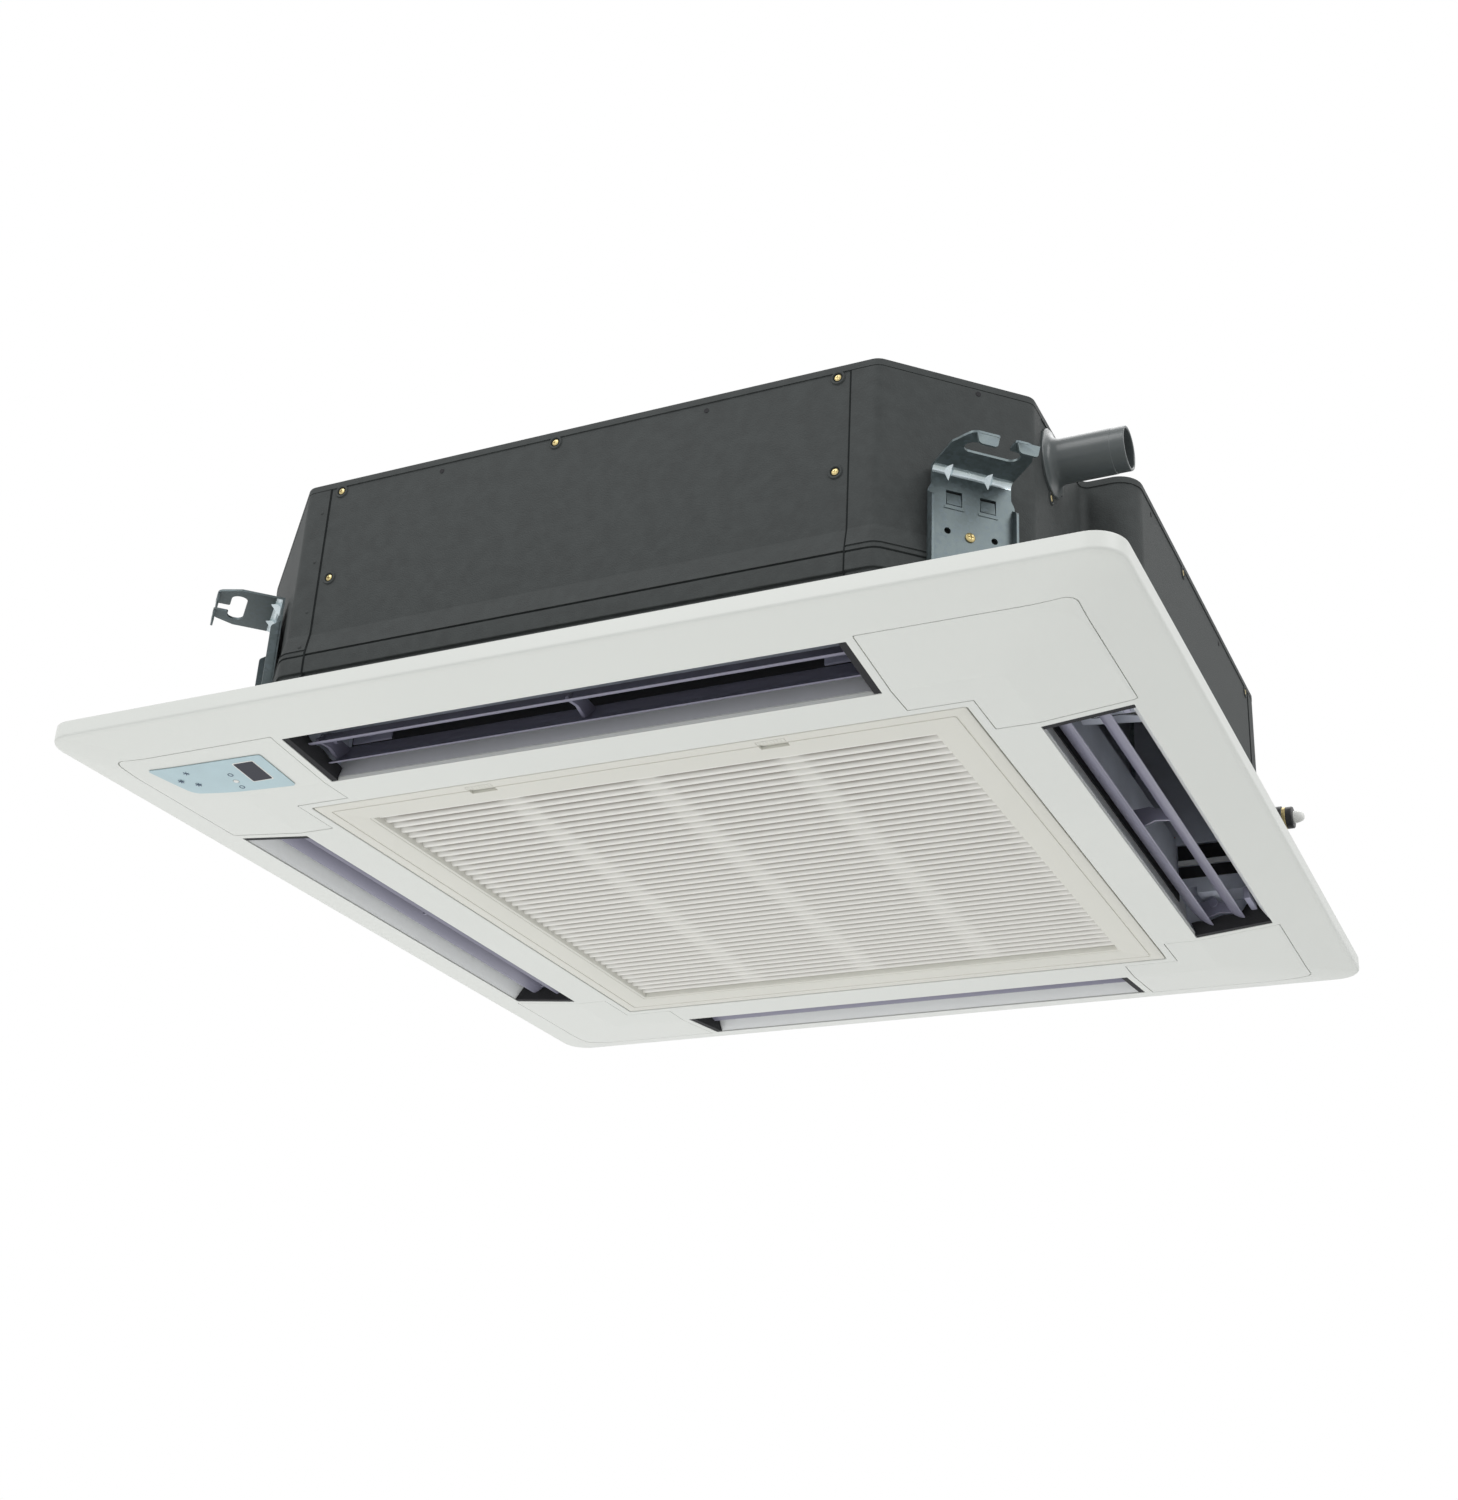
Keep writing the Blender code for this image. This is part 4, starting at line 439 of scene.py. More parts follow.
def lathe(profile, segments, bm=None):
    """Turns a closed profile of (radius, z) points about Z; a radius of 0 is a point on the axis."""
    bm = bm or bmesh.new()
    rings = []
    for radius, z in profile:
        if radius == 0:
            rings.append([bm.verts.new((0, 0, z))])
        else:
            rings.append([bm.verts.new((x, y, z)) for x, y in circle(radius, segments)])
    pairs = list(zip(rings, rings[1:]))
    if len(rings[0]) > 1 and len(rings[-1]) > 1:
        pairs.append((rings[-1], rings[0]))
    for first, second in pairs:
        if len(first) == 1 and len(second) == 1:
            continue
        for i in range(segments):
            j = (i + 1) % segments
            corners = [first[i % len(first)], first[j % len(first)], second[j % len(second)],
                second[i % len(second)]]
            bm.faces.new(list(dict.fromkeys(corners)))
    return bm


def tube(points, radius, segments, bm=None):
    """A round bar along a series of points."""
    bm = bm or bmesh.new()
    points = [Vector(point) for point in points]
    normal = (points[1] - points[0]).orthogonal().normalized()
    rings = []
    for i, point in enumerate(points):
        direction = (points[min(i + 1, len(points) - 1)] - points[max(i - 1, 0)]).normalized()
        normal = (normal - direction * normal.dot(direction)).normalized()
        across = direction.cross(normal)
        rings.append([point + normal * x + across * y for x, y in circle(radius, segments)])
    return stack(bm, rings)


def curve_points(points, steps):
    """A smooth line of flat points through the given ones."""
    points = [Vector(point) for point in points]
    padded = [2 * points[0] - points[1]] + points + [2 * points[-1] - points[-2]]
    result = []
    for a, b, c, d in zip(padded, padded[1:], padded[2:], padded[3:]):
        for k in range(steps):
            t = k / steps
            result.append(
                tuple(
                0.5 * (2 * b + (c - a) * t + (2 * a - 5 * b + 4 * c - d) * t ** 2
                + (3 * b - a - 3 * c + d) * t ** 3)))
    return result + [tuple(points[-1])]


def on_side(side, corners):
    """Points of s outward and t along a side, as world x and y."""
    turn = Matrix.Rotation(math.radians(SIDES[side]), 2)
    return [tuple(turn @ Vector(corner)) for corner in corners]


def side_matrix(side, s=0.0, z=0.0):
    """The frame of a side, moved out and up."""
    turn = Matrix.Rotation(math.radians(SIDES[side]), 4, "Z")
    return turn @ Matrix.Translation((s, 0, z))


def wall_frame(azimuth, distance, shift, z):
    """A frame on a wall this far out at an azimuth: Z points out, X along the wall and Y up."""
    angle = math.radians(azimuth)
    out = Vector((math.cos(angle), math.sin(angle), 0))
    along = Vector((-out.y, out.x, 0))
    up = Vector((0, 0, 1))
    turn = Matrix((along, up, out)).transposed().to_4x4()
    return Matrix.Translation(out * distance + along * shift + up * z) @ turn


def make(name, bm, finish, matrix=None, smooth=32.0):
    """An object from bm, not yet placed on a body."""
    bmesh.ops.recalc_face_normals(bm, faces=bm.faces[:])
    mesh = bpy.data.meshes.new(name)
    bm.to_mesh(mesh)
    bm.free()
    mesh.shade_smooth()
    mesh.set_sharp_from_angle(angle=math.radians(smooth))
    piece = bpy.data.objects.new(name, mesh)
    piece.matrix_world = matrix or Matrix()
    bpy.context.scene.collection.objects.link(piece)
    if finish is None:
        piece.hide_render = True
        piece.display_type = "WIRE"
    else:
        mesh.materials.append(finish)
    return piece


def combine(piece, operation, bm):
    """Joins the shape in bm to the piece, or cuts it out, in the piece's own frame."""
    tool = make(f"{piece.name}_tool_{len(piece.modifiers)}", bm, None, piece.matrix_world)
    boolean = piece.modifiers.new(operation.lower(), "BOOLEAN")
    boolean.operation = operation
    boolean.solver = "EXACT"
    boolean.object = tool


def settle(piece, bevel=0.0):
    """Applies the piece's Booleans, then rounds its edges a little."""
    graph = bpy.context.evaluated_depsgraph_get()
    mesh = bpy.data.meshes.new_from_object(piece.evaluated_get(graph))
    for modifier in list(piece.modifiers):
        tool = modifier.object
        piece.modifiers.remove(modifier)
        bpy.data.objects.remove(tool, do_unlink=True)
    mesh.set_sharp_from_angle(angle=math.radians(30))
    piece.data = mesh
    if bevel:
        rounding = piece.modifiers.new("edges", "BEVEL")
        rounding.width = bevel
        rounding.segments = 2
        rounding.limit_method = "ANGLE"
        rounding.angle_limit = math.radians(35)
        rounding.harden_normals = True
        rounding.miter_outer = "MITER_ARC"
    return piece


def flatten(piece):
    """Keeps wide faces flat to the light, so that only the narrow folds between them turn."""
    even = piece.modifiers.new("even", "WEIGHTED_NORMAL")
    even.weight = 50
    even.keep_sharp = True
    return piece


def copy_of(source, name, matrix, mirror=None):
    """Another piece with the source's mesh, mirrored by a diagonal matrix if one is given."""
    mesh = source.data
    if mirror is not None:
        mesh = source.data.copy()
        mesh.transform(mirror)
        if mirror.determinant() < 0:
            mesh.flip_normals()
    made = bpy.data.objects.new(name, mesh)
    made.matrix_world = matrix
    bpy.context.scene.collection.objects.link(made)
    for modifier in source.modifiers:
        rounding = made.modifiers.new(modifier.name, modifier.type)
        for setting in ("width", "segments", "limit_method", "angle_limit", "harden_normals", "miter_outer"):
            setattr(rounding, setting, getattr(modifier, setting))
    return made


def place(piece, body, slot_name, *nodes):
    """Gives a piece its body and hides the nodes that it stands for."""
    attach(piece, body)
    if nodes:
        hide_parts(*nodes)


def add(name, bm, finish, slot_name, *nodes, at=None, body="unit"):
    """Makes a piece that needs no further work and places it."""
    place(make(name, bm, finish, at), body, slot_name, *nodes)


# Casing

def octagon(inset):
    """Plan of the casing with its chamfers and its recess, moved in by the inset."""
    half = CASING_HALF - inset
    reach = (CHAMFER_DISTANCE - inset) * ROOT2
    bend = BEND_RADIUS - inset
    recess = RECESS_X - inset
    return rounded_polygon(
        [(recess, RECESS_Y + inset, 0.004 + inset), (half, RECESS_Y + inset, RECESS_ROUND - inset),
        (half, reach - half, bend), (reach - half, half, bend), (half - reach, half, bend),
        (-half, reach - half, bend), (-half, half - reach, bend), (half - reach, -half, bend),
        (reach - half, -half, bend), (recess, recess - reach, bend)])


def wall_holes():
    """Round holes for the drain stub and the two water connections."""
    holes = bmesh.new()
    centres = [(RECESS_X, STUB_Y, STUB_Z, 0.0096)]
    centres += [(CASING_HALF, PIPE_Y, height, 0.0098) for height in PIPE_HEIGHTS]
    for x, y, z, radius in centres:
        tube([(x - 0.03, y, z), (x + 0.01, y, z)], radius, 32, holes)
    return holes


def build_casing():
    """Folded sheet: upper wall, a band that flares out over a fine groove and a skirt under a second one."""
    outer = [(UPPER_INSET, WALL_TOP), (UPPER_INSET, BAND_TOP + 0.0012),
        (UPPER_INSET - 0.0004, BAND_TOP - 0.0004), (0.0004, BAND_LOW + 0.0016), (0.0, BAND_LOW),
        (0.0, BAND_LOW - 0.0006), (0.0018, BAND_LOW - 0.0009), (0.0018, BAND_LOW - 0.0022),
        (0.0002, BAND_LOW - 0.0026), (0.0, BAND_LOW - 0.0034), (0.0, SKIRT_TOP + 0.0014),
        (0.0003, SKIRT_TOP + 0.0006), (0.0026, SKIRT_TOP), (0.0026, SKIRT_TOP - 0.0014),
        (SKIRT_INSET, SKIRT_TOP - 0.0022), (SKIRT_INSET, CASING_BOTTOM)]
    inner = [(SKIRT_INSET + SHEET, CASING_BOTTOM), (SKIRT_INSET + SHEET, SKIRT_TOP - 0.003),
        (0.0042, SKIRT_TOP - 0.0022), (0.0042, BAND_LOW), (UPPER_INSET + SHEET, BAND_TOP),
        (UPPER_INSET + SHEET, WALL_TOP)]
    rings = rings_at([(octagon(inset), z) for inset, z in outer + inner])
    wall = make("casing", stack(bmesh.new(), rings, True), CHARCOAL, smooth=24.0)
    combine(wall, "DIFFERENCE", wall_holes())
    place(flatten(settle(wall)), "unit", "charcoal_steel", "casing_wall")


def build_lid():
    """Lid with a turned-down rim and a pressed dish for the motor's feet."""
    levels = [(0.0042, WALL_TOP - 0.0004), (0.0042, LID_EDGE), (0.0031, LID_EDGE),
        (0.0031, CASING_TOP - 0.0012), (0.0035, CASING_TOP - 0.0004), (0.0045, CASING_TOP)]
    rings = rings_at([(octagon(inset), z) for inset, z in levels])
    lid = make("lid", stack(bmesh.new(), rings), CHARCOAL, smooth=28.0)
    low = CASING_TOP - SHEET - MOTOR_DISH_DEPTH
    wide = MOTOR_DISH_RADIUS + 0.008
    inside = CASING_TOP - 0.001
    above = CASING_TOP + 0.002
    combine(lid, "UNION", lathe([(0, low), (MOTOR_DISH_RADIUS, low), (wide, inside), (0, inside)], 96))
    dish = [(0, low + SHEET), (MOTOR_DISH_RADIUS - 0.003, low + SHEET),
        (MOTOR_DISH_RADIUS, low + SHEET + 0.0006), (wide - 0.001, CASING_TOP - 0.0007),
        (wide + 0.002, CASING_TOP), (wide + 0.002, above), (0, above)]
    combine(lid, "DIFFERENCE", lathe(dish, 96))
    place(flatten(settle(lid)), "unit", "charcoal_steel", "top_plate")


def corner_path(inset, start, end_x):
    """Plan of a corner sheet, from the seam round two bends, as an open line."""
    half = CASING_HALF - inset
    reach = (CHAMFER_DISTANCE - inset) * ROOT2
    bend = BEND_RADIUS - inset
    if end_x is None:
        end = (half, -start)
        corner = (half, half - reach)
    else:
        recess = RECESS_X - inset
        end = (recess, end_x)
        corner = (recess, recess - reach)
    return rounded_polygon([(start, -half, 0), (reach - half, -half, bend), (*corner, bend), (*end, 0)])


def build_corner_sheets():
    """Second sheet that wraps each corner, with a double step in its band."""
    levels = [(UPPER_INSET, OVERLAY_TOP), (UPPER_INSET, BAND_TOP + 0.0016), (UPPER_INSET - 0.0004, BAND_TOP),
        (0.0008, UPPER_GROOVE + 0.002), (0.0004, UPPER_GROOVE + 0.0006), (0.0016, UPPER_GROOVE),
        (0.0014, UPPER_GROOVE - 0.001), (0.0001, UPPER_GROOVE - 0.0016), (0.0, LOWER_GROOVE + 0.0006),
        (0.0018, LOWER_GROOVE), (0.0018, LOWER_GROOVE - 0.0012), (0.0002, LOWER_GROOVE - 0.0018),
        (0.0, LOWER_GROOVE - 0.0026), (0.0, SKIRT_TOP + 0.0014), (0.0003, SKIRT_TOP + 0.0006),
        (0.0022, SKIRT_TOP), (0.0022, SKIRT_TOP - 0.0014), (SKIRT_INSET, SKIRT_TOP - 0.0024),
        (SKIRT_INSET, OVERLAY_BOTTOM)]
    for name, (sx, sy) in CORNERS.items():
        end = RECESS_SHEET_END if name == "near_right" else None
        rings = []
        for inset, z in levels:
            front = corner_path(inset - OVERLAY, SEAM, end)
            back = corner_path(inset + 0.0003, SEAM, end)
            rings.append([(x * sx, y * sy, z) for x, y in front + back[::-1]])
        sheet = make("corner_sheet_" + name, stack(bmesh.new(), rings), CHARCOAL, smooth=24.0)
        place(flatten(sheet), "unit", "charcoal_steel")


def build_seams():
    """Dark joints where the corner sheets end on the wall."""
    levels = [(UPPER_INSET, OVERLAY_TOP), (UPPER_INSET, BAND_TOP + 0.0012), (0.0004, BAND_LOW + 0.0016),
        (0.0, BAND_LOW), (0.0, SKIRT_TOP + 0.0014), (SKIRT_INSET, SKIRT_TOP - 0.0022),
        (SKIRT_INSET, OVERLAY_BOTTOM)]
    turns = ((0, (-1, 1)), (90, (1,)), (180, (-1, 1)), (270, (-1, 1)))
    for turn, ends in turns:
        seams = bmesh.new()
        for sign in ends:
            start, end = span(sign, SEAM - 0.0016, SEAM + 0.0002)
            rings = []
            for inset, z in levels:
                face = -CASING_HALF + inset - OVERLAY * 0.5
                rings.append([(start, face, z), (end, face, z), (end, face + 0.0006, z),
                    (start, face + 0.0006, z)])
            stack(seams, rings)
        add(f"seams_{turn}", seams, SEAM_AND_SHADE_DARK, "charcoal_steel",
            at=Matrix.Rotation(math.radians(turn), 4, "Z"))


# Screws and small fastenings

def screw_mesh(name, radius, height):
    """Round brass head with a cross recess."""
    profile = [(0, height)]
    for k in range(1, 7):
        angle = math.pi / 2 * k / 6
        profile.append((radius * math.sin(angle), height * (0.35 + 0.65 * math.cos(angle))))
    profile += [(radius, 0), (0, 0)]
    head = make(name, lathe(profile, 24), BRASS)
    arm, thin = radius * 0.55, radius * 0.13
    for half_x, half_y in ((arm, thin), (thin, arm)):
        combine(head, "DIFFERENCE", box((-half_x, -half_y, height * 0.35), (half_x, half_y, height * 1.4)))
    return settle(head)


def ring_mesh(name, inner, outer, height):
    """Pressed ring round a screw."""
    middle = (inner + outer) / 2
    profile = [(inner, 0), (inner, height * 0.5), ((inner + middle) / 2, height * 0.92), (middle, height),
        ((outer + middle) / 2, height * 0.9), (outer, height * 0.2), (outer, 0)]
    return make(name, lathe(profile, 32), CHARCOAL)


def add_fastenings(screws, holes):
    """Screws in pressed rings over dark discs of painted shade, and small holes drawn as dark discs of
    painted shade, at frames that face out of the casing.
    """
    head = screw_mesh("screw_0", 0.003, 0.0011)
    ring = ring_mesh("screw_ring_0", 0.004, 0.0064, 0.0013)
    # Dark discs paint the shade in the screw recesses and inside the small holes.
    screw_shade = make("screw_well_0", lathe([(0, 0), (0.0041, 0), (0.0041, 0.0003), (0, 0.0003)], 32), SEAM_AND_SHADE_DARK)
    hole = make("sheet_hole_0", lathe([(0, 0), (0.0022, 0), (0.0022, 0.0004), (0, 0.0004)], 20), BLACK_FOAM_AND_SHADE)
    groups = ((head, screws, "screw_", "brass"), (ring, screws, "screw_ring_", "charcoal_steel"),
        (screw_shade, screws, "screw_well_", "charcoal_steel"), (hole, holes, "sheet_hole_", "charcoal_steel"))
    for source, frames, stem, slot_name in groups:
        for i, at in enumerate(frames):
            piece = copy_of(source, stem + str(i), at) if i else source
            piece.matrix_world = at
            place(piece, "unit", slot_name)


def build_fastenings():
    """Screws along every wall and in the recess, small holes, and rivets beside the near left seam."""
    wall = CASING_HALF - UPPER_INSET
    screws = []
    holes = []
    for azimuth in (-90, 180, 90, 0):
        for shift, z in ((-SCREW_SHIFT, SCREW_TOP), (-0.02, SCREW_TOP), (SCREW_SHIFT, SCREW_TOP),
                (-SCREW_SHIFT, SCREW_LOW), (SCREW_SHIFT, SCREW_LOW)):
            if azimuth != 0 or shift >= RECESS_Y + 0.03:
                screws.append(wall_frame(azimuth, wall, shift, z))
        for shift in (-0.133, 0.122):
            holes.append(wall_frame(azimuth, wall, shift, SCREW_TOP - 0.0025))
    holes.append(wall_frame(-45, CHAMFER_DISTANCE - UPPER_INSET + OVERLAY, -0.0148, SCREW_TOP))
    for y, z in ((-0.2785, SCREW_TOP), (-0.2466, 0.186), (-0.2732, 0.162)):
        screws.append(wall_frame(0, RECESS_X - UPPER_INSET, y, z))
    add_fastenings(screws, holes)
    rivets = bmesh.new()
    for z in (0.03, 0.064, 0.1, 0.15, 0.2):
        inset = UPPER_INSET if z > BAND_TOP else 0.001
        at = wall_frame(-90, CASING_HALF - inset + OVERLAY, -SEAM - 0.006, z)
        earlier = set(rivets.verts)
        lathe([(0, 0.0007), (0.0012, 0.0005), (0.0018, 0), (0, 0)], 16, rivets)
        bmesh.ops.transform(rivets, matrix=at, verts=[vert for vert in rivets.verts if vert not in earlier])
    add("seam_rivets", rivets, CHARCOAL, "charcoal_steel")


# Hangers

def hanger_bracket(at):
    """Plate with wings and windows, bent over into a flange that is open to its slot between two ears."""
    half, shoulder = HANGER_HALF, HANGER_HALF - 0.003
    face, out, end = HANGER_FACE, HANGER_OUT, HANGER_END
    upright = [(half, HANGER_BOTTOM, 0.003), (half, 0.116, 0.004), (shoulder, 0.122, 0.003),
        (shoulder, HANGER_TOP, 0)]
    outline = rounded_polygon(upright + [(-y, z, radius) for y, z, radius in reversed(upright)], 6)
    bracket = make("hanger_bracket_near_right", cross_prism(outline, face, out), HANGER_ZINC, at)
    low, high = (face + HANGER_SLOT_OUT + side * HANGER_SLOT_WIDTH / 2 for side in (-1, 1))
    left, right = (HANGER_MOUTH_MIDDLE + side * HANGER_MOUTH / 2 for side in (-1, 1))
    reach, corner = HANGER_SLOT_LENGTH / 2, 0.0068
    flange = rounded_polygon(
        [(face, -shoulder, 0), (end - 0.02, -shoulder, 0.003), (end, 0.012 - half, 0.008), (end, left, 0.002),
        (high, left, 0.002), (high, -reach, corner), (low, -reach, corner), (low, reach, corner),
        (high, reach, corner), (high, right, 0.002), (end, right, 0.002), (end, half - 0.012, 0.008),
        (end - 0.02, shoulder, 0.003), (face, shoulder, 0)], 8)
    combine(bracket, "UNION", prism(flange, HANGER_UNDER, HANGER_TOP))
    ears = bmesh.new()
    ear_top, ear_low = HANGER_TOP - 0.0009, HANGER_TOP - 0.011
    for start, stop in ((left - 0.02, left - 0.0008), (right + 0.0008, right + 0.02)):
        ear = [(start, ear_top, 0), (start + 0.002, ear_low, 0.003), (stop - 0.002, ear_low, 0.003),
            (stop, ear_top, 0)]
        cross_prism(rounded_polygon(ear, 6), end - HANGER_SHEET, end - 0.0002, ears)
    combine(bracket, "UNION", ears)
    wings = bmesh.new()
    wing = rounded_polygon([(face + 0.001, 0.01, 0), (out + 0.007, 0.014, 0.002), (out + 0.007, 0.108, 0.003),
        (face + 0.001, 0.114, 0)], 6)
    for y in (-half, half - HANGER_SHEET):
        side_prism(wing, y, y + HANGER_SHEET, wings)
    combine(bracket, "UNION", wings)
    holes = bmesh.new()
    for y in HANGER_WINDOWS:
        box((face - 0.004, y - 0.0068, HANGER_TOP - 0.0335), (out + 0.004, y + 0.0068, HANGER_TOP - 0.0205),
            holes)
    for y, z, radius in ((-0.0205, 0.082, 0.0028), (0.0195, 0.082, 0.0028), (-0.0005, 0.06, 0.003)):
        cross_prism(circle(radius, 20, y, z), face - 0.004, out + 0.004, holes)
    combine(bracket, "DIFFERENCE", holes)
    return settle(bracket, 0.0004)


def hanger_tabs():
    """Tongues bent back out of the windows, each over a low bar."""
    tabs = bmesh.new()
    for y in HANGER_WINDOWS:
        rings = []
        for z, front, back in ((0.033, 0.0002, -0.0012), (0.0225, -0.001, -0.002)):
            sheet = [(front, y - 0.0062), (front, y + 0.0062), (back, y + 0.0062), (back, y - 0.0062)]
            rings.append([(HANGER_OUT + x, t, HANGER_TOP - z) for x, t in sheet])
        stack(tabs, rings)
        low = (HANGER_OUT - 0.0004, y - 0.0085, HANGER_TOP - 0.037)
        box(low, (HANGER_OUT + 0.0006, y + 0.0085, HANGER_TOP - 0.0352), tabs)
    return tabs


def hanger_bend():
    """Rounded fold between plate and flange, with two darts across it, to carry a painted highlight."""
    out, under, radius = HANGER_OUT, HANGER_UNDER, 0.005
    bend = bmesh.new()
    for y in (-0.02, 0.014):
        back = [(out - 0.0005, y - 0.0055, under), (out - 0.0005, y + 0.0055, under),
            (out - 0.0005, y, under - 0.0105)]
        front = [(out + 0.0085, y - 0.0004, under + 0.0004), (out + 0.0085, y + 0.0004, under + 0.0004),
            (out + 0.0083, y, under - 0.0004)]
        stack(bend, [back, front])
    fold = [(out - 0.0003, under + 0.0003), (out - 0.0003, under - radius)]
    for k in range(7):
        angle = math.pi / 2 * k / 6
        fold.append((out + radius * (1 - math.cos(angle)), under - radius * (1 - math.sin(angle))))
    fold.append((out + radius, under + 0.0003))
    return side_prism(fold, -HANGER_HALF + 0.0032, HANGER_HALF - 0.0032, bend)


def build_hangers():
    """Galvanised bracket with its tabs, its bend in a bright painted highlight, and screw, mirrored to the
    four chamfers.
    """
    at = Matrix.Rotation(math.radians(-45), 4, "Z") @ Matrix.Translation((0, HANGER_SHIFT, 0))
    bracket = hanger_bracket(at)
    tabs = make("hanger_tabs_near_right", hanger_tabs(), HANGER_ZINC, at)
    # The bend and its darts are coloured as a painted highlight.
    bend = make("hanger_bend_near_right", hanger_bend(), BEND_PAINTED_HIGHLIGHT, at)
    head = screw_mesh("hanger_screw_near_right", 0.0042, 0.002)
    head.matrix_world = at @ Matrix.Translation((HANGER_OUT, -0.0015, 0.08)) @ TOWARD_X
    for source, slot_name in ((bracket, "zinc_steel"), (tabs, "zinc_steel"), (bend, "zinc_steel"),
            (head, "brass")):
        base = source.matrix_world.copy()
        for name, (sx, sy) in CORNERS.items():
            piece = source
            if name != "near_right":
                mirror = Matrix.Diagonal((sx, sy, 1, 1))
                piece = copy_of(source, source.name.replace("near_right", name), Matrix(), mirror @ base)
            nodes = ("hanger_" + name,) if source is bracket else ()
            place(piece, "unit", slot_name, *nodes)


# Pipes

def build_drain_stub():
    """Grey stub with a flared collar on the recess wall."""
    start = RECESS_X - UPPER_INSET + GAP
    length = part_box("drain_stub")[1].x - start
    profile = [(0.0065, -0.0183), (0.009, -0.0183), (0.009, 0), (0.029, 0), (0.029, 0.0018), (0.0284, 0.0024)]
    profile += curve_points([(0.025, 0.0028), (0.0222, 0.004), (0.0203, 0.0062), (0.0192, 0.0095)], 4)
    profile += [(0.019, 0.012), (0.019, length - 0.012), (0.0187, length - 0.0116), (0.0187, length - 0.0006),
        (0.0183, length), (0.017, length), (0.0165, length - 0.0006), (0.0165, 0.008), (0.0065, 0.004)]
    at = Matrix.Translation((start, STUB_Y, STUB_Z)) @ TOWARD_X
    add("drain_pipe", lathe(profile, 64), PIPE_GREY, "grey_plastic", "drain_stub", at=at)


def build_water_connections():
    """Capped fittings, each a nut and a row of turned parts; the hidden lower one has a shorter cap."""
    sleeve = [(0.0124, 0.0108), (0.0124, 0.0226), (0.0118, 0.0232)]
    ring = [(0.0106, 0.023), (0.011, 0.0234), (0.011, 0.0262), (0.0106, 0.0266)]
    collar = [(0.0104, 0.0264), (0.0109, 0.0269), (0.0109, 0.0326), (0.0103, 0.0334)]
    short_cap = [(0.0058, 0.0332), (0.0062, 0.0336), (0.0062, 0.034)]
    long_cap = short_cap[:-1] + [(0.0062, 0.035), (0.0055, 0.0385), (0.0042, 0.042), (0.0026, 0.0434),
        (0, 0.044)]
    for name, z, cap in (("return_fitting", PIPE_HEIGHTS[0], long_cap),
            ("supply_fitting", PIPE_HEIGHTS[1], short_cap)):
        at = Matrix.Translation((CASING_HALF + GAP, PIPE_Y, z)) @ TOWARD_X
        nut = make(name + "_nut", prism(circle(0.016, 6), 0.0004, 0.011), BLACK, at)
        place(settle(nut, 0.0008), "unit", "black_plastic")
        for suffix, profile, finish, slot_name, nodes in (("_sleeve", sleeve, BLACK, "black_plastic", ()),
                ("_brass", ring, BRASS, "brass", (name,)), ("_collar", collar, BLACK, "black_plastic", ()),
                ("_cap", cap, SMALL_WHITE, "white_small", ())):
            closed = [(0, profile[0][1])] + profile
            if profile[-1][0] > 0:
                closed.append((0, profile[-1][1]))
            add(name + suffix, lathe(closed, 48), finish, slot_name, *nodes, at=at)


# Panel

def ring_levels(rows):
    """Rounded squares at the (half, z, radius) of each row."""
    return rings_at([(rounded_square(half, radius), z) for half, z, radius in rows])


def held(rows):
    """Adds a ring close to each end of a wide face, so that the face is lit flat right up to its folds."""
    full = [rows[0]]
    for before, after in zip(rows, rows[1:]):
        width = abs(before[0] - after[0])
        if width > 0.01:
            share = 0.0006 / width
            for part in (share, 1 - share):
                full.append(tuple(a + (b - a) * part for a, b in zip(before, after)))
        full.append(after)
    return full


def panel_surface():
    """Rows of the panel's visible face, from its rim in to the intake opening."""
    edge = PANEL_HALF
    low = -RIM_HEIGHT
    return [(edge - 0.0004, 0.0, 0.0256), (edge, -0.0004, 0.026), (edge, low + 0.0004, 0.026),
        (edge - 0.00015, low - 0.0008, 0.0259), (edge - 0.0006, low - 0.0017, 0.0257),
        (edge - 0.0014, low - 0.0025, 0.0255), (edge - 0.004, low - 0.0034, 0.0256),
        (SLOPE_HALF + 0.004, SLOPE_Z + 0.001, 0.038), (SLOPE_HALF, SLOPE_Z, 0.04),
        (SLOPE_HALF - 0.004, SLOPE_Z - 0.0004, 0.039), (FACE_HALF + 0.004, FACE_Z + 0.0004, 0.016),
        (FACE_HALF, FACE_Z, 0.014), (OPENING_HALF + 0.0005, FACE_Z, 0.0034),
        (OPENING_HALF, FACE_Z + 0.0005, 0.003)]


def panel_slab(low, high):
    """A sheet that follows the panel's face between two heights above it, over the corner covers' range."""
    rows = [(PANEL_HALF - 0.0247, SLOPE_Z + 0.00555, 0.0328), (SLOPE_HALF, SLOPE_Z, 0.04),
        (FACE_HALF, FACE_Z, 0.014), (COVER_NOTCH - 0.004, FACE_Z, 0.003)]
    lower = [(half, z + low, radius) for half, z, radius in held(rows)]
    upper = [(half, z + high, radius) for half, z, radius in reversed(held(rows))]
    return stack(bmesh.new(), ring_levels(lower + upper), True)


def face_height(x, y):
    """Height of the panel's face over a point between the opening and the slope's end."""
    share = max(0.0, (max(abs(x), abs(y)) - FACE_HALF) / (SLOPE_HALF - FACE_HALF))
    return FACE_Z + (SLOPE_Z - FACE_Z) * share


def cover_outline(sx, sy, inset):
    """L-shaped outline of a corner cover, moved in by the inset."""
    near, far, notch = COVER_NEAR + inset, COVER_FAR - inset, COVER_NOTCH + inset
    points = [(near, notch, 0.0008), (near, far, 0.0015), (far, far, 0.01), (far, near, 0.0015),
        (notch, near, 0.0008), (notch, notch, 0.0008)]
    return rounded_polygon([(x * sx, -y * sy, r) for x, y, r in points], 8)


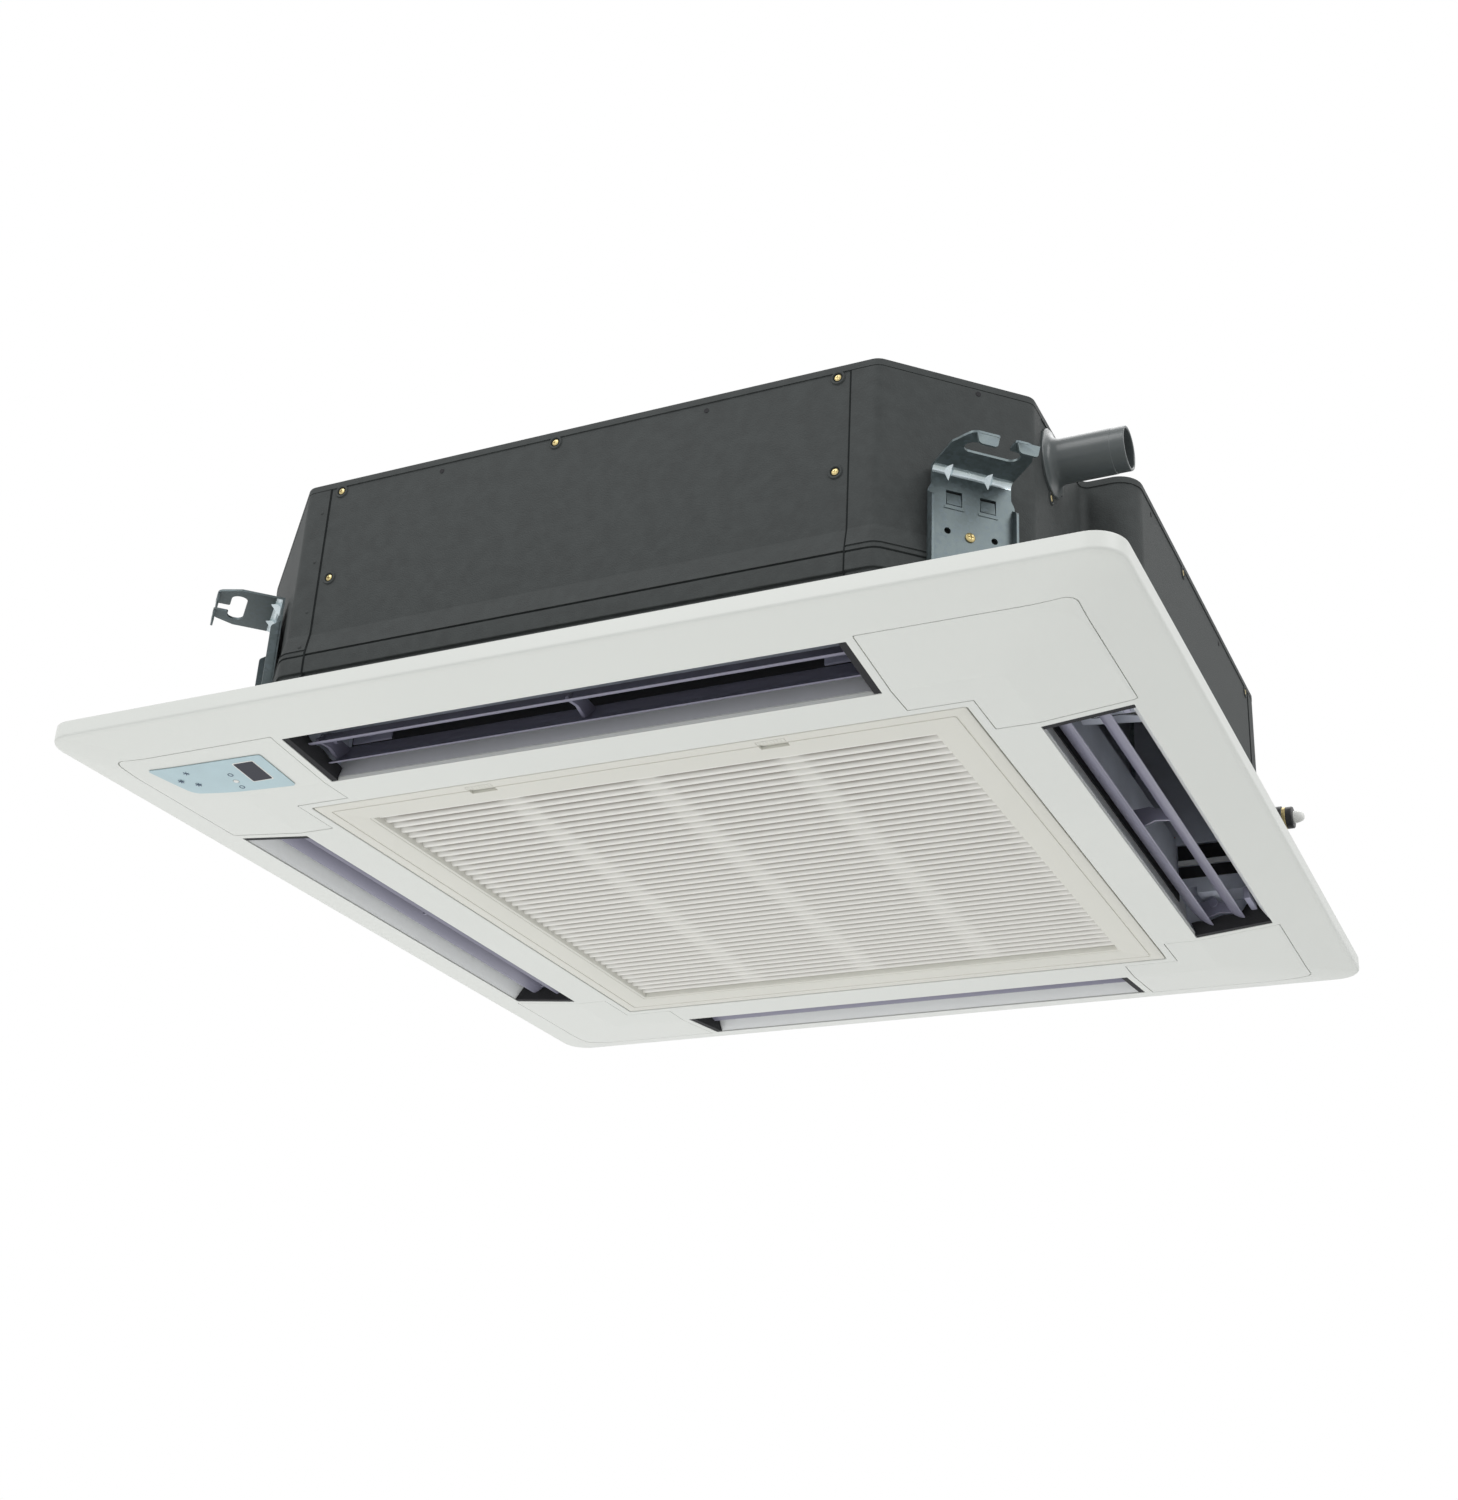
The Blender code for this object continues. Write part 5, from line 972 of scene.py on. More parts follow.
def build_panel():
    """Panel with its rim and flange, four air slots and a stepped hole under each corner cover."""
    lifted = FACE_Z + SKIN
    inside = [(OPENING_HALF, FLANGE_TOP, 0.003), (OPENING_HALF + FLANGE_WALL, FLANGE_TOP, 0.005),
        (OPENING_HALF + FLANGE_WALL, lifted, 0.005), (FACE_HALF, lifted, 0.014),
        (SLOPE_HALF - 0.0015, SLOPE_Z + SKIN, 0.039),
        (PANEL_HALF - RIM_WALL - 0.002, -RIM_HEIGHT + 0.0008, 0.024),
        (PANEL_HALF - RIM_WALL, -RIM_HEIGHT + 0.0025, 0.0235), (PANEL_HALF - RIM_WALL, 0.0, 0.0235)]
    panel = make("panel", stack(bmesh.new(), ring_levels(held(panel_surface()) + inside), True), PANEL_WHITE)
    slots = bmesh.new()
    slot = rounded_box(SLOT_INNER, -SLOT_HALF, SLOT_OUTER, SLOT_HALF, 0.001, 4)
    for side in SIDES:
        prism(on_side(side, slot), CUT_LOW, CUT_HIGH, slots)
    combine(panel, "DIFFERENCE", slots)
    through = bmesh.new()
    for sx, sy in CORNERS.values():
        prism(cover_outline(sx, sy, LEDGE), CUT_LOW, CUT_HIGH, through)
    combine(panel, "DIFFERENCE", through)
    for name, (sx, sy) in CORNERS.items():
        recess = make("recess_" + name, panel_slab(-0.002, COVER_THICKNESS + GAP), PANEL_WHITE)
        combine(recess, "INTERSECT", prism(cover_outline(sx, sy, 0.0), CUT_LOW, CUT_HIGH))
        settle(recess)
        shape = bmesh.new()
        shape.from_mesh(recess.data)
        bpy.data.objects.remove(recess, do_unlink=True)
        combine(panel, "DIFFERENCE", shape)
    place(flatten(settle(panel)), "unit", "white_panel", "panel_frame")


def build_corner_covers():
    """Covers that follow the panel's face; the near left one has a hole for the button."""
    for name, (sx, sy) in CORNERS.items():
        cover = make("cover_" + name, panel_slab(0.00015, COVER_THICKNESS), PANEL_WHITE)
        combine(cover, "INTERSECT", prism(cover_outline(sx, sy, COVER_GAP), CUT_LOW, CUT_HIGH))
        if name == "near_left":
            hole = prism(circle(BUTTON_RADIUS + GAP, 24, BUTTON_X, BUTTON_Y), CUT_LOW, CUT_HIGH)
            combine(cover, "DIFFERENCE", hole)
        place(flatten(settle(cover)), "unit", "white_panel", "corner_cover_" + name)


def raised(outline, thickness, bm=None):
    """A thin printed or stuck shape that lies on the panel's face, just below it in height."""
    bm = bm or bmesh.new()
    lower = [(x, y, face_height(x, y) - 0.0009 - thickness) for x, y in outline]
    upper = [(x, y, face_height(x, y) - 0.0008) for x, y in outline]
    return stack(bm, [lower, upper])


def build_mark_ring(marks, x, y):
    """A thin printed circle."""
    rings = []
    for radius, drop in ((0.0026, 0.0008), (0.0026, 0.0011), (0.0018, 0.0011), (0.0018, 0.0008)):
        rings.append([(u, v, face_height(u, v) - drop) for u, v in circle(radius, 24, x, y)])
    stack(marks, rings, True)


def build_mark_star(marks, x, y):
    """Three printed strokes that cross."""
    centre = Vector((x, y))
    for k in range(3):
        angle = math.pi * k / 3
        along = Vector((math.cos(angle), math.sin(angle))) * 0.003
        across = Vector((-math.sin(angle), math.cos(angle))) * 0.00035
        corners = [centre + along + across, centre - along + across, centre - along - across,
            centre + along - across]
        raised([tuple(corner) for corner in corners], 0.0002, marks)


def build_display():
    """Light blue label with a display window, function marks and a push button."""
    (x0, x1), (y0, y1) = LABEL_X, LABEL_Y
    outline = rounded_polygon([(x0, y0, 0.003), (x1, y0 + 0.003, 0.003), (x1, y1, 0.003),
        (x0 + 0.014, y1 - 0.008, 0.01)], 8)
    label = make("display_sticker", panel_slab(-GAP - 0.0006, -GAP), LABEL_BLUE)
    combine(label, "INTERSECT", prism(outline, CUT_LOW, CUT_HIGH))
    hole = circle(BUTTON_RADIUS + GAP, 32, BUTTON_X, BUTTON_Y)
    combine(label, "DIFFERENCE", prism(hole, CUT_LOW, CUT_HIGH))
    place(flatten(settle(label)), "unit", "label", "display_label")
    left, right, low, high = x1 - 0.033, x1 - 0.013, y1 - 0.047, y1 - 0.017
    window = rounded_box(left, low, right, high, 0.0012)
    border = rounded_box(left - 0.0012, low - 0.0012, right + 0.0012, high + 0.0012, 0.0018)
    pane = make("display_window", raised(window, 0.0003), WINDOW_DARK, smooth=20.0)
    place(pane, "unit", "black_plastic")
    surround = make("display_window_frame", raised(border, 0.0001), SMALL_WHITE, smooth=20.0)
    place(surround, "unit", "white_small")
    marks = bmesh.new()
    for x, y in ((x1 - 0.047, y1 - 0.032), (x1 - 0.05, y1 - 0.011)):
        build_mark_ring(marks, x, y)
    for x, y in ((x0 + 0.034, y1 - 0.045), (x0 + 0.032, y1 - 0.025), (x0 + 0.02, y1 - 0.034)):
        build_mark_star(marks, x, y)
    place(make("display_marks", marks, INK, smooth=20.0), "unit", "label")
    button_low, button_high = (corner.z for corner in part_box("manual_button"))
    height = button_high - button_low
    wide = BUTTON_RADIUS + 0.0016
    button = [(0, 0), (0.0014, 0), (0.0021, 0.0002), (0.0025, 0.0006), (BUTTON_RADIUS, 0.0012),
        (BUTTON_RADIUS, height - 0.0012), (wide, height - 0.0012), (wide, height), (0, height)]
    add("push_button", lathe(button, 32), SMALL_WHITE, "white_small", "manual_button", body="button",
        at=Matrix.Translation((BUTTON_X, BUTTON_Y, button_low)))


# Outlets

OUTER_CURVE = [(SLOT_OUTER - GAP, -0.0248), (DUCT_OUTER + 0.0098, -0.0198), (DUCT_OUTER + 0.0045, -0.0118),
    (DUCT_OUTER + 0.0015, -0.005), (DUCT_OUTER, 0.0014)]
END_MARKS = (("a", -1), ("b", 1))


def build_lips(side):
    """White rolled lips along both sides of an outlet, and end walls with bearings."""
    lifted = FACE_Z + SKIN + GAP
    slope_top = SLOPE_Z + SKIN + GAP
    wall_end = SLOT_HALF + END_WALL
    at = side_matrix(side)
    shoulder = [(DUCT_OUTER + 0.003, GUIDE_TOP), (SLOPE_HALF + 0.002, slope_top + 0.0011),
        (SLOPE_HALF - 0.0015, slope_top)]
    outer = curve_points(OUTER_CURVE, 6) + shoulder
    add("outlet_lip_" + side, side_prism(outer, -wall_end, wall_end), LIP, "guide", "outlet_guide_" + side,
        at=at)
    inner = [(SLOT_INNER + GAP, FACE_Z + SKIN + 0.0005), (SLOT_INNER - 0.0002, FACE_Z + SKIN + 0.0012),
        (DUCT_INNER, -0.012), (DUCT_INNER, GUIDE_TOP), (GUIDE_INNER, GUIDE_TOP), (GUIDE_INNER, lifted)]
    add("outlet_inner_lip_" + side, side_prism(inner, -wall_end, wall_end), LIP, "guide", at=at)
    section = [(GUIDE_INNER, lifted), (FACE_HALF, lifted)] + shoulder[::-1] + [(GUIDE_INNER, GUIDE_TOP)]
    for mark, sign in END_MARKS:
        start, end = span(sign, SLOT_HALF, wall_end)
        wall = make(f"outlet_end_{side}_{mark}", side_prism(section, start, end), DUCT, at)
        axis = [(PIVOT_S, start - 0.002, PIVOT_Z), (PIVOT_S, end + 0.002, PIVOT_Z)]
        combine(wall, "DIFFERENCE", tube(axis, PIN_RADIUS + 0.0004, 24))
        place(settle(wall), "unit", "guide")


def build_seals(side):
    """Black foam at both ends of an outlet, flush with the face below and wavy above."""
    at = side_matrix(side)
    start = SLOT_INNER + 2 * GAP
    end = SLOT_OUTER - 2 * GAP
    slope = (SLOPE_Z - FACE_Z) / (SLOPE_HALF - FACE_HALF)
    low = FACE_Z + 0.0004
    wave = curve_points([(end, -0.0224), (DUCT_OUTER + 0.0085, -0.0179), (DUCT_OUTER + 0.004, -0.0118),
        (DUCT_OUTER - 0.001, -0.006), (DUCT_OUTER - 0.008, -0.0055), (DUCT_OUTER - 0.013, -0.0125),
        (DUCT_OUTER - 0.02, -0.015), (PIVOT_S + 0.006, -0.015), (PIVOT_S - 0.006, -0.019),
        (SLOT_INNER + 0.004, -0.0185), (SLOT_INNER - 0.003, -0.0198)], 4)
    seal = [(start, low), (end, low + slope * (end - FACE_HALF))] + wave + [(start, FACE_Z + SKIN + 0.0007)]
    face = SLOT_HALF - GAP
    for mark, sign in END_MARKS:
        foam = side_prism(seal, *span(sign, face, face - 0.0062))
        add(f"outlet_seal_{side}_{mark}", foam, BLACK_FOAM_AND_SHADE, "black_foam", f"end_seal_{side}_{mark}", at=at)


def line_duct(side):
    """A near-black sheet that paints shade on the duct's inner wall, bearing blocks by the outer one, low
    cheeks by the inner one.
    """
    at = side_matrix(side)
    end = SLOT_HALF - 0.01
    far = end if side != "right" else RIGHT_DUCT_END - 0.002
    section = [(DUCT_INNER + 0.0003, -0.006), (DUCT_INNER + 0.0013, -0.0055), (DUCT_INNER + 0.0013, 0.012),
        (DUCT_INNER + 0.0003, 0.013)]
    # Near-black sheet of painted shade on the duct's inner wall.
    add("duct_lining_" + side, side_prism(section, -end, far), BLACK_FOAM_AND_SHADE, "black_foam", at=at)
    block = rounded_polygon([(DUCT_OUTER - 0.0048, -0.0128, 0.0015), (DUCT_OUTER + 0.0015, -0.0128, 0.0003),
        (DUCT_OUTER + 0.0002, -0.001, 0.0003), (DUCT_OUTER - 0.0048, -0.001, 0.0015)], 6)
    cheek = rounded_polygon([(DUCT_INNER + 0.0003, 0.003, 0), (DUCT_INNER + 0.003, 0.0034, 0.001),
        (DUCT_INNER + 0.003, 0.0166, 0.001), (DUCT_INNER + 0.0003, 0.017, 0)], 4)
    blocks = bmesh.new()
    for sign in (-1, 1):
        side_prism(block, *span(sign, SLOT_HALF - 0.0066, SLOT_HALF - 0.04), blocks)
        ends = span(sign, SLOT_HALF - 0.012, SLOT_HALF - 0.052)
        if ends[1] < far:
            side_prism(cheek, *ends, blocks)
    # The blocks' lighter lilac is painted light.
    place(settle(make("bearing_blocks_" + side, blocks, BEARING_LIT_LILAC, at), 0.0004), "unit", "guide")


def build_duct_end():
    """Baffle by the coil's end plate, pads and rib at the right duct's far end, roof over its near end."""
    plate_low, plate_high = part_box("coil_plate_right")
    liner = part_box("casing_liner")[1].x
    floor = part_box("drain_pan")[1].z
    baffle = box((plate_high.x + GAP, plate_low.y, floor + GAP),
        (liner - 0.0102, plate_low.y + SHEET, plate_high.z))
    left = DUCT_INNER + 0.0015
    right = DUCT_OUTER - 0.0015
    box((left, plate_low.y, floor - 0.009), (right, plate_low.y + SHEET, floor + 0.001), baffle)
    add("duct_baffle_right", baffle, DUCT, "grey_foam")
    face = RIGHT_DUCT_END - GAP
    pads = box((left, face - 0.0016, 0.0375), (right, face, 0.052))
    box((left, face - 0.0016, 0.018), (right, face, 0.03), pads)
    add("duct_pads_right", pads, BLACK_FOAM_AND_SHADE, "black_foam")
    roof = box((RECESS_X + 0.0015, -SLOT_HALF - END_WALL, GUIDE_TOP + GAP),
        (DUCT_OUTER + 0.003, RECESS_Y + 0.0017, GUIDE_TOP + GAP + SHEET))
    add("duct_roof_right", roof, DUCT, "grey_foam")
    rib = box((left, face - 0.003, 0.0315), (right, face, 0.036))
    add("duct_rib_right", rib, LIP, "guide")


def vane_section(start, end, camber):
    """Section of a curved blade with rounded edges."""
    thickness = 0.002
    steps = 10
    start, end = Vector(start), Vector(end)
    chord = end - start
    normal = Vector((-chord.y, chord.x)).normalized()
    upper = []
    lower = []
    for k in range(steps + 1):
        share = k / steps
        centre = start + chord * share + normal * camber * 4 * share * (1 - share)
        edge = min(share, 1 - share) * chord.length
        half = thickness / 2 * min(1.0, 0.35 + math.sqrt(edge / 0.0025) * 0.65)
        upper.append(tuple(centre + normal * half))
        lower.append(tuple(centre - normal * half))
    return upper + lower[::-1]


def build_louvers():
    """Twin vanes on three arms, with hubs and pins at both ends."""
    inner_end = DUCT_INNER + 0.004 - PIVOT_S
    outer_end = DUCT_OUTER - 0.0105 - PIVOT_S
    at = side_matrix("right", PIVOT_S, PIVOT_Z)
    blades = bmesh.new()
    for section in (vane_section((inner_end, 0.004), (-0.002, -0.021), -0.003),
            vane_section((outer_end - 0.0165, -0.0012), (outer_end, -0.0165), -0.003)):
        mid_s = sum(s for s, z in section) / len(section)
        mid_z = sum(z for s, z in section) / len(section)
        rings = []
        for t, share in ((-LOUVER_HALF, 0.9), (-LOUVER_HALF + 0.0006, 1.0), (LOUVER_HALF - 0.0006, 1.0),
                (LOUVER_HALF, 0.9)):
            rings.append([(mid_s + (s - mid_s) * share, t, mid_z + (z - mid_z) * share) for s, z in section])
        stack(blades, rings)
    arm = rounded_polygon([(inner_end + 0.001, 0.001, 0.001), (-0.0085, -0.015, 0.002), (0.005, -0.01, 0.004),
        (outer_end - 0.003, -0.0125, 0.002), (outer_end - 0.0155, -0.0018, 0.001), (0.0, 0.0034, 0.003)], 6)
    for t in (-LOUVER_HALF + 0.004, 0.0, LOUVER_HALF - 0.004):
        side_prism(arm, t - 0.0015, t + 0.0015, blades)
    reach = SLOT_HALF + END_WALL
    for sign in (-1, 1):
        tube([(0, sign * (LOUVER_HALF - 0.0035), 0), (0, sign * reach, 0)], PIN_RADIUS, 24, blades)
        tube([(0, sign * (LOUVER_HALF - 0.009), 0), (0, sign * (LOUVER_HALF - 0.0005), 0)], 0.0044, 32,
            blades)
    louver = make("louver_vanes_right", blades, VANE, at)
    for side in SIDES:
        piece = louver
        if side != "right":
            piece = copy_of(louver, "louver_vanes_" + side, side_matrix(side, PIVOT_S, PIVOT_Z))
        place(piece, "louver_" + side, "vane", "louver_" + side)


# Intake grille

def slat_section(centre):
    """Leaning slat with a rounded nose towards the room."""
    half = (SLAT_PITCH - SLAT_WALL) / 2
    low, high = FIELD_Z, FIELD_Z + SLAT_DEPTH
    lean = SLAT_LEAN / 2
    return rounded_polygon([(centre + lean - half, low, 0.0011), (centre + lean + half, low, 0.0026),
        (centre - lean + half, high, 0), (centre - lean - half, high, 0)], 6)


def inset_levels(half, far, rows):
    """Levels from (inset, z, radius) rows, inside a square whose far side has a distance of its own."""
    levels = []
    for inset, z, radius in rows:
        edge = half - inset
        levels.append((rounded_box(-edge, -edge, edge, far - inset, radius, 4), z))
    return levels


def build_border():
    """Frame of the grille with a groove round it and two slots for the latches."""
    back = FACE_Z + BORDER_SHEET
    rim = FIELD_Z + FIELD_DEPTH
    wall = BORDER_SHEET
    groove = FACE_Z + 0.0009
    border = (GRILLE_HALF, HINGE_SIDE_HALF)
    levels = inset_levels(*border,
        [(0, FACE_Z + 0.0008, 0.002), (0, rim, 0.002), (wall, rim, 0.001), (wall, back, 0.001)])
    levels += inset_levels(FIELD_HALF, FIELD_HALF,
        [(-wall, back, 0.001), (-wall, rim, 0.001), (0, rim, 0.001), (0, FACE_Z + 0.003, 0.001),
        (-0.0008, FACE_Z + 0.0012, 0.0015), (-0.003, FACE_Z + 0.001, 0.002),
        (-0.0036, FACE_Z + 0.0002, 0.0022), (-0.0042, FACE_Z, 0.0025)])
    levels += inset_levels(*border,
        [(0.0125, FACE_Z, 0.003), (0.0122, groove, 0.003), (0.0112, groove, 0.003), (0.0109, FACE_Z, 0.003),
        (0.0009, FACE_Z, 0.002), (0.0003, FACE_Z + 0.0003, 0.002)])
    frame_piece = make("grille_border", stack(bmesh.new(), rings_at(levels), True), GRILLE_WHITE)
    slots = bmesh.new()
    half = LATCH_WIDTH / 2 - 0.004
    for x in (-LATCH_X, LATCH_X):
        outline = rounded_box(x - half, LATCH_KNOB_Y - 0.0032, x + half, LATCH_KNOB_Y + 0.0032 + LATCH_TRAVEL,
            0.0012, 4)
        prism(outline, FACE_Z - 0.002, back + 0.001, slots)
    combine(frame_piece, "DIFFERENCE", slots)
    place(settle(frame_piece), "grille", "white_grille", "intake_grille")


def build_grille():
    """Grille with its border, hinge pins, slats and the three ribs behind them."""
    build_border()
    pins = bmesh.new()
    for sign in (-1, 1):
        ends = (sign * (GRILLE_HALF - 0.004), sign * (OPENING_HALF + 0.0022))
        tube([(x, HINGE_Y, HINGE_Z) for x in ends], HINGE_PIN, 24, pins)
    add("grille_pins", pins, GRILLE_WHITE, "white_grille", body="grille")
    slats = bmesh.new()
    reach = FIELD_HALF + 0.0008
    for k in range(SLAT_ROWS):
        cross_prism(slat_section(-FIELD_HALF + SLAT_PITCH * (k + 0.5)), -reach, reach, slats)
    add("grille_slats", slats, SLAT_PAINTED_SHADE, "white_grille", body="grille")
    ribs = bmesh.new()
    for x in (-FIELD_HALF / 2, 0.0, FIELD_HALF / 2):
        box((x - 0.008, -FIELD_HALF, FIELD_Z + 0.003),
            (x + 0.008, FIELD_HALF, FIELD_Z + FIELD_DEPTH - 0.0002), ribs)
    add("grille_ribs", ribs, GRILLE_WHITE, "white_grille", body="grille")


def build_latches():
    """Sliding latches: base plate, ridged knob and a nose that hooks over the opening's flange."""
    seat = FLANGE_TOP + GAP
    tip = (-OPENING_HALF - NOSE_REACH, seat + NOSE_SLOPE * (NOSE_REACH + NOSE_PLAY))
    back = LATCH_FRONT + 0.0022
    nose_top = tip[1] + 0.0038
    start = seat - NOSE_SLOPE * (LATCH_FRONT + OPENING_HALF - NOSE_PLAY)
    nose = rounded_polygon([(back, LATCH_Z + 0.0002, 0), (LATCH_FRONT, LATCH_Z + 0.0002, 0),
        (LATCH_FRONT, start, 0.0002), (*tip, 0.0005), (tip[0] + 0.003, nose_top, 0.0006),
        (back, nose_top, 0.0004)], 4)
    for name, sign in (("latch_left", -1), ("latch_right", 1)):
        middle = sign * LATCH_X
        half = LATCH_WIDTH / 2
        base = box((middle - half, LATCH_FRONT, LATCH_Z),
            (middle + half, -OPENING_HALF + 0.0205, LATCH_Z + LATCH_SHEET))
        latch = make("sliding_" + name, base, GRILLE_WHITE)
        knob_half = half - 0.0045
        knob = box((middle - knob_half, LATCH_KNOB_Y - 0.0028, FACE_Z - 0.0001),
            (middle + knob_half, LATCH_KNOB_Y + 0.0028, LATCH_Z + LATCH_SHEET / 2))
        combine(latch, "UNION", knob)
        combine(latch, "UNION", cross_prism(nose, middle - 0.01, middle + 0.01))
        grips = bmesh.new()
        for k in range(7):
            x = middle + (k - 3) * 0.0032
            box((x - 0.0003, LATCH_KNOB_Y - 0.002, FACE_Z - 0.002),
                (x + 0.0003, LATCH_KNOB_Y + 0.002, FACE_Z + 0.0003), grips)
        combine(latch, "DIFFERENCE", grips)
        place(settle(latch, 0.0002), name, "white_grille", "grille_" + name)


# Fan and inlet

def shroud_z(radius):
    """Height of the shroud's sheet, which rises outward from its inlet."""
    share = (radius - FAN_INLET) / (FAN_RADIUS - FAN_INLET)
    return FAN_BOTTOM + 0.008 + 0.03 * max(0.0, share) ** 1.6


def fan_blade(bm, turn):
    """Backward-curved blade from the shroud up to the back plate, thickest in its middle."""
    stations = 14
    rings = []
    for k in range(stations + 1):
        share = k / stations
        tip = FAN_RADIUS - 0.002
        low = FAN_INLET + 0.0035 + (tip - FAN_INLET - 0.0035) * share
        high = ROOT_RADIUS + (tip - ROOT_RADIUS) * share
        thick = 0.0004 + 0.0026 * math.sin(math.pi * min(1.0, share * 0.9 + 0.08))
        ring = []
        for level, side in ((0, -1), (0, 1), (0.5, 1), (1, 1), (1, -1), (0.5, -1)):
            radius = low + (high - low) * level
            z = shroud_z(low) + (FAN_TOP - 0.001 - shroud_z(low)) * level
            angle = turn - BLADE_SWEEP * (radius - ROOT_RADIUS)
            tangent = Vector((-math.sin(angle), math.cos(angle), 0))
            point = Vector((radius * math.cos(angle), radius * math.sin(angle), z))
            ring.append(point + tangent * thick * side)
        rings.append(ring)
    stack(bm, rings)


def build_fan():
    """Impeller: hub cup and back plate, curved shroud and blades."""
    sheet = FAN_SHEET
    bore = SHAFT_RADIUS + GAP
    boss_low = CUP_FLOOR - 0.006
    plate_low = FAN_TOP - sheet
    hub = [(bore, boss_low), (0.0135, boss_low), (0.014, boss_low + 0.0005), (0.014, CUP_FLOOR),
        (CUP_RADIUS - 0.004, CUP_FLOOR), (CUP_RADIUS, CUP_FLOOR + 0.003), (CUP_RADIUS + 0.01, plate_low),
        (FAN_RADIUS, plate_low), (FAN_RADIUS, FAN_TOP), (CUP_RADIUS + 0.008, FAN_TOP),
        (CUP_RADIUS - 0.002, CUP_FLOOR + sheet), (bore, CUP_FLOOR + sheet)]
    fan = lathe(hub, 96)
    radii = [FAN_INLET + (FAN_RADIUS - FAN_INLET) * k / 8 for k in range(9)]
    shroud = [(FAN_INLET, FAN_BOTTOM), (FAN_INLET + sheet, FAN_BOTTOM)]
    shroud += [(r, shroud_z(r) - sheet / 2) for r in radii[1:]]
    shroud += [(r, shroud_z(r) + sheet / 2) for r in reversed(radii)]
    lathe(shroud, 96, fan)
    for k in range(FAN_BLADES):
        fan_blade(fan, math.tau * (k + 0.13) / FAN_BLADES)
    add("fan_wheel", fan, BLACK, "black_plastic", "fan_impeller", body="fan")


def build_inlet():
    """Inlet plate with a window for the electric box, and the flared throat in it."""
    plate_top = CASING_BOTTOM + 0.002
    plate = rounded_square(PAN_OPENING_HALF - GAP, 0.03 - GAP)
    bell = make("inlet_plate", prism(plate, CASING_BOTTOM, plate_top), BLACK)
    combine(bell, "DIFFERENCE", prism(circle(FLARE_RADIUS + 0.001, 96), -0.01, 0.02))
    window = 0.004
    combine(bell, "DIFFERENCE",
        box((BOX_X[0] + window, -BOX_HALF + window, CUT_LOW),
        (BOX_X[1] - window, BOX_HALF - window, plate_top + 0.001)))
    place(settle(bell, 0.0004), "unit", "black_plastic")
    low = CASING_BOTTOM + 0.0001
    edge = FLARE_RADIUS + 0.004
    inner = []
    outer = [(edge, low), (edge, low + 0.0014)]
    steps = 14
    for k in range(steps + 1):
        angle = math.pi / 2 * k / steps
        radius = FLARE_RADIUS - (FLARE_RADIUS - THROAT_RADIUS) * math.sin(angle)
        z = low + (THROAT_TOP - low) * (1 - math.cos(angle))
        inner.append((radius, z))
        if k:
            outer.append((radius + 0.002, z if k == steps else z + 0.0004))
    add("inlet_throat", lathe(inner[::-1] + outer, 128), BLACK, "black_plastic", "bell_mouth")


def dress_inside():
    """Finishes for the inner pieces that keep their own shape."""
    finishes = ((LINER, ["casing_liner"]), (DUCT, ["drain_pan"]), (FINS, ["coil_fins"]),
        (RUBBER, ["drain_hose"]), (COPPER, ["supply_header", "return_header"]), (BLACK, ["drain_pump"]),
        (NET, ["air_filter"]), (SMALL_WHITE, ["float_switch", "float", "pump_impeller"]),
        (BOARD, ["control_board", "display_board"]),
        (ZINC, ["coil_plate_right", "coil_plate_far", "fan_motor", "fan_nut", "electric_box",
        "electric_box_cover"]), (ZINC, ["swing_motor_" + side for side in SIDES]))
    for finish, nodes in finishes:
        for node in nodes:
            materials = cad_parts[node].data.materials
            materials.clear()
            materials.append(finish)


# Stage, light and camera

def background():
    """White behind the object and in its reflections; a dimmer, cooler light falls on it from all round."""
    world = bpy.data.worlds.new("studio")
    bpy.context.scene.world = world
    world.use_nodes = True
    tree = world.node_tree
    shown = tree.nodes["Background"]
    feed(tree, shown, {"Color": (1, 1, 1, 1), "Strength": 1.0})
    ambient = add_node(tree, "Background", {"Color": (0.96, 0.98, 1.0, 1), "Strength": 0.7})
    rays = add_node(tree, "LightPath", {}).outputs
    seen = add_node(tree, "Math", {0: rays["Is Camera Ray"], 1: rays["Is Glossy Ray"]}, operation="MAXIMUM")
    direct = add_node(tree, "Math", {0: seen.outputs[0], 1: rays["Is Transmission Ray"]}, operation="MAXIMUM")
    blend = add_node(tree, "MixShader", {0: direct.outputs[0], 1: ambient.outputs[0], 2: shown.outputs[0]})
    feed(tree, tree.nodes["World Output"], {"Surface": blend.outputs[0]})


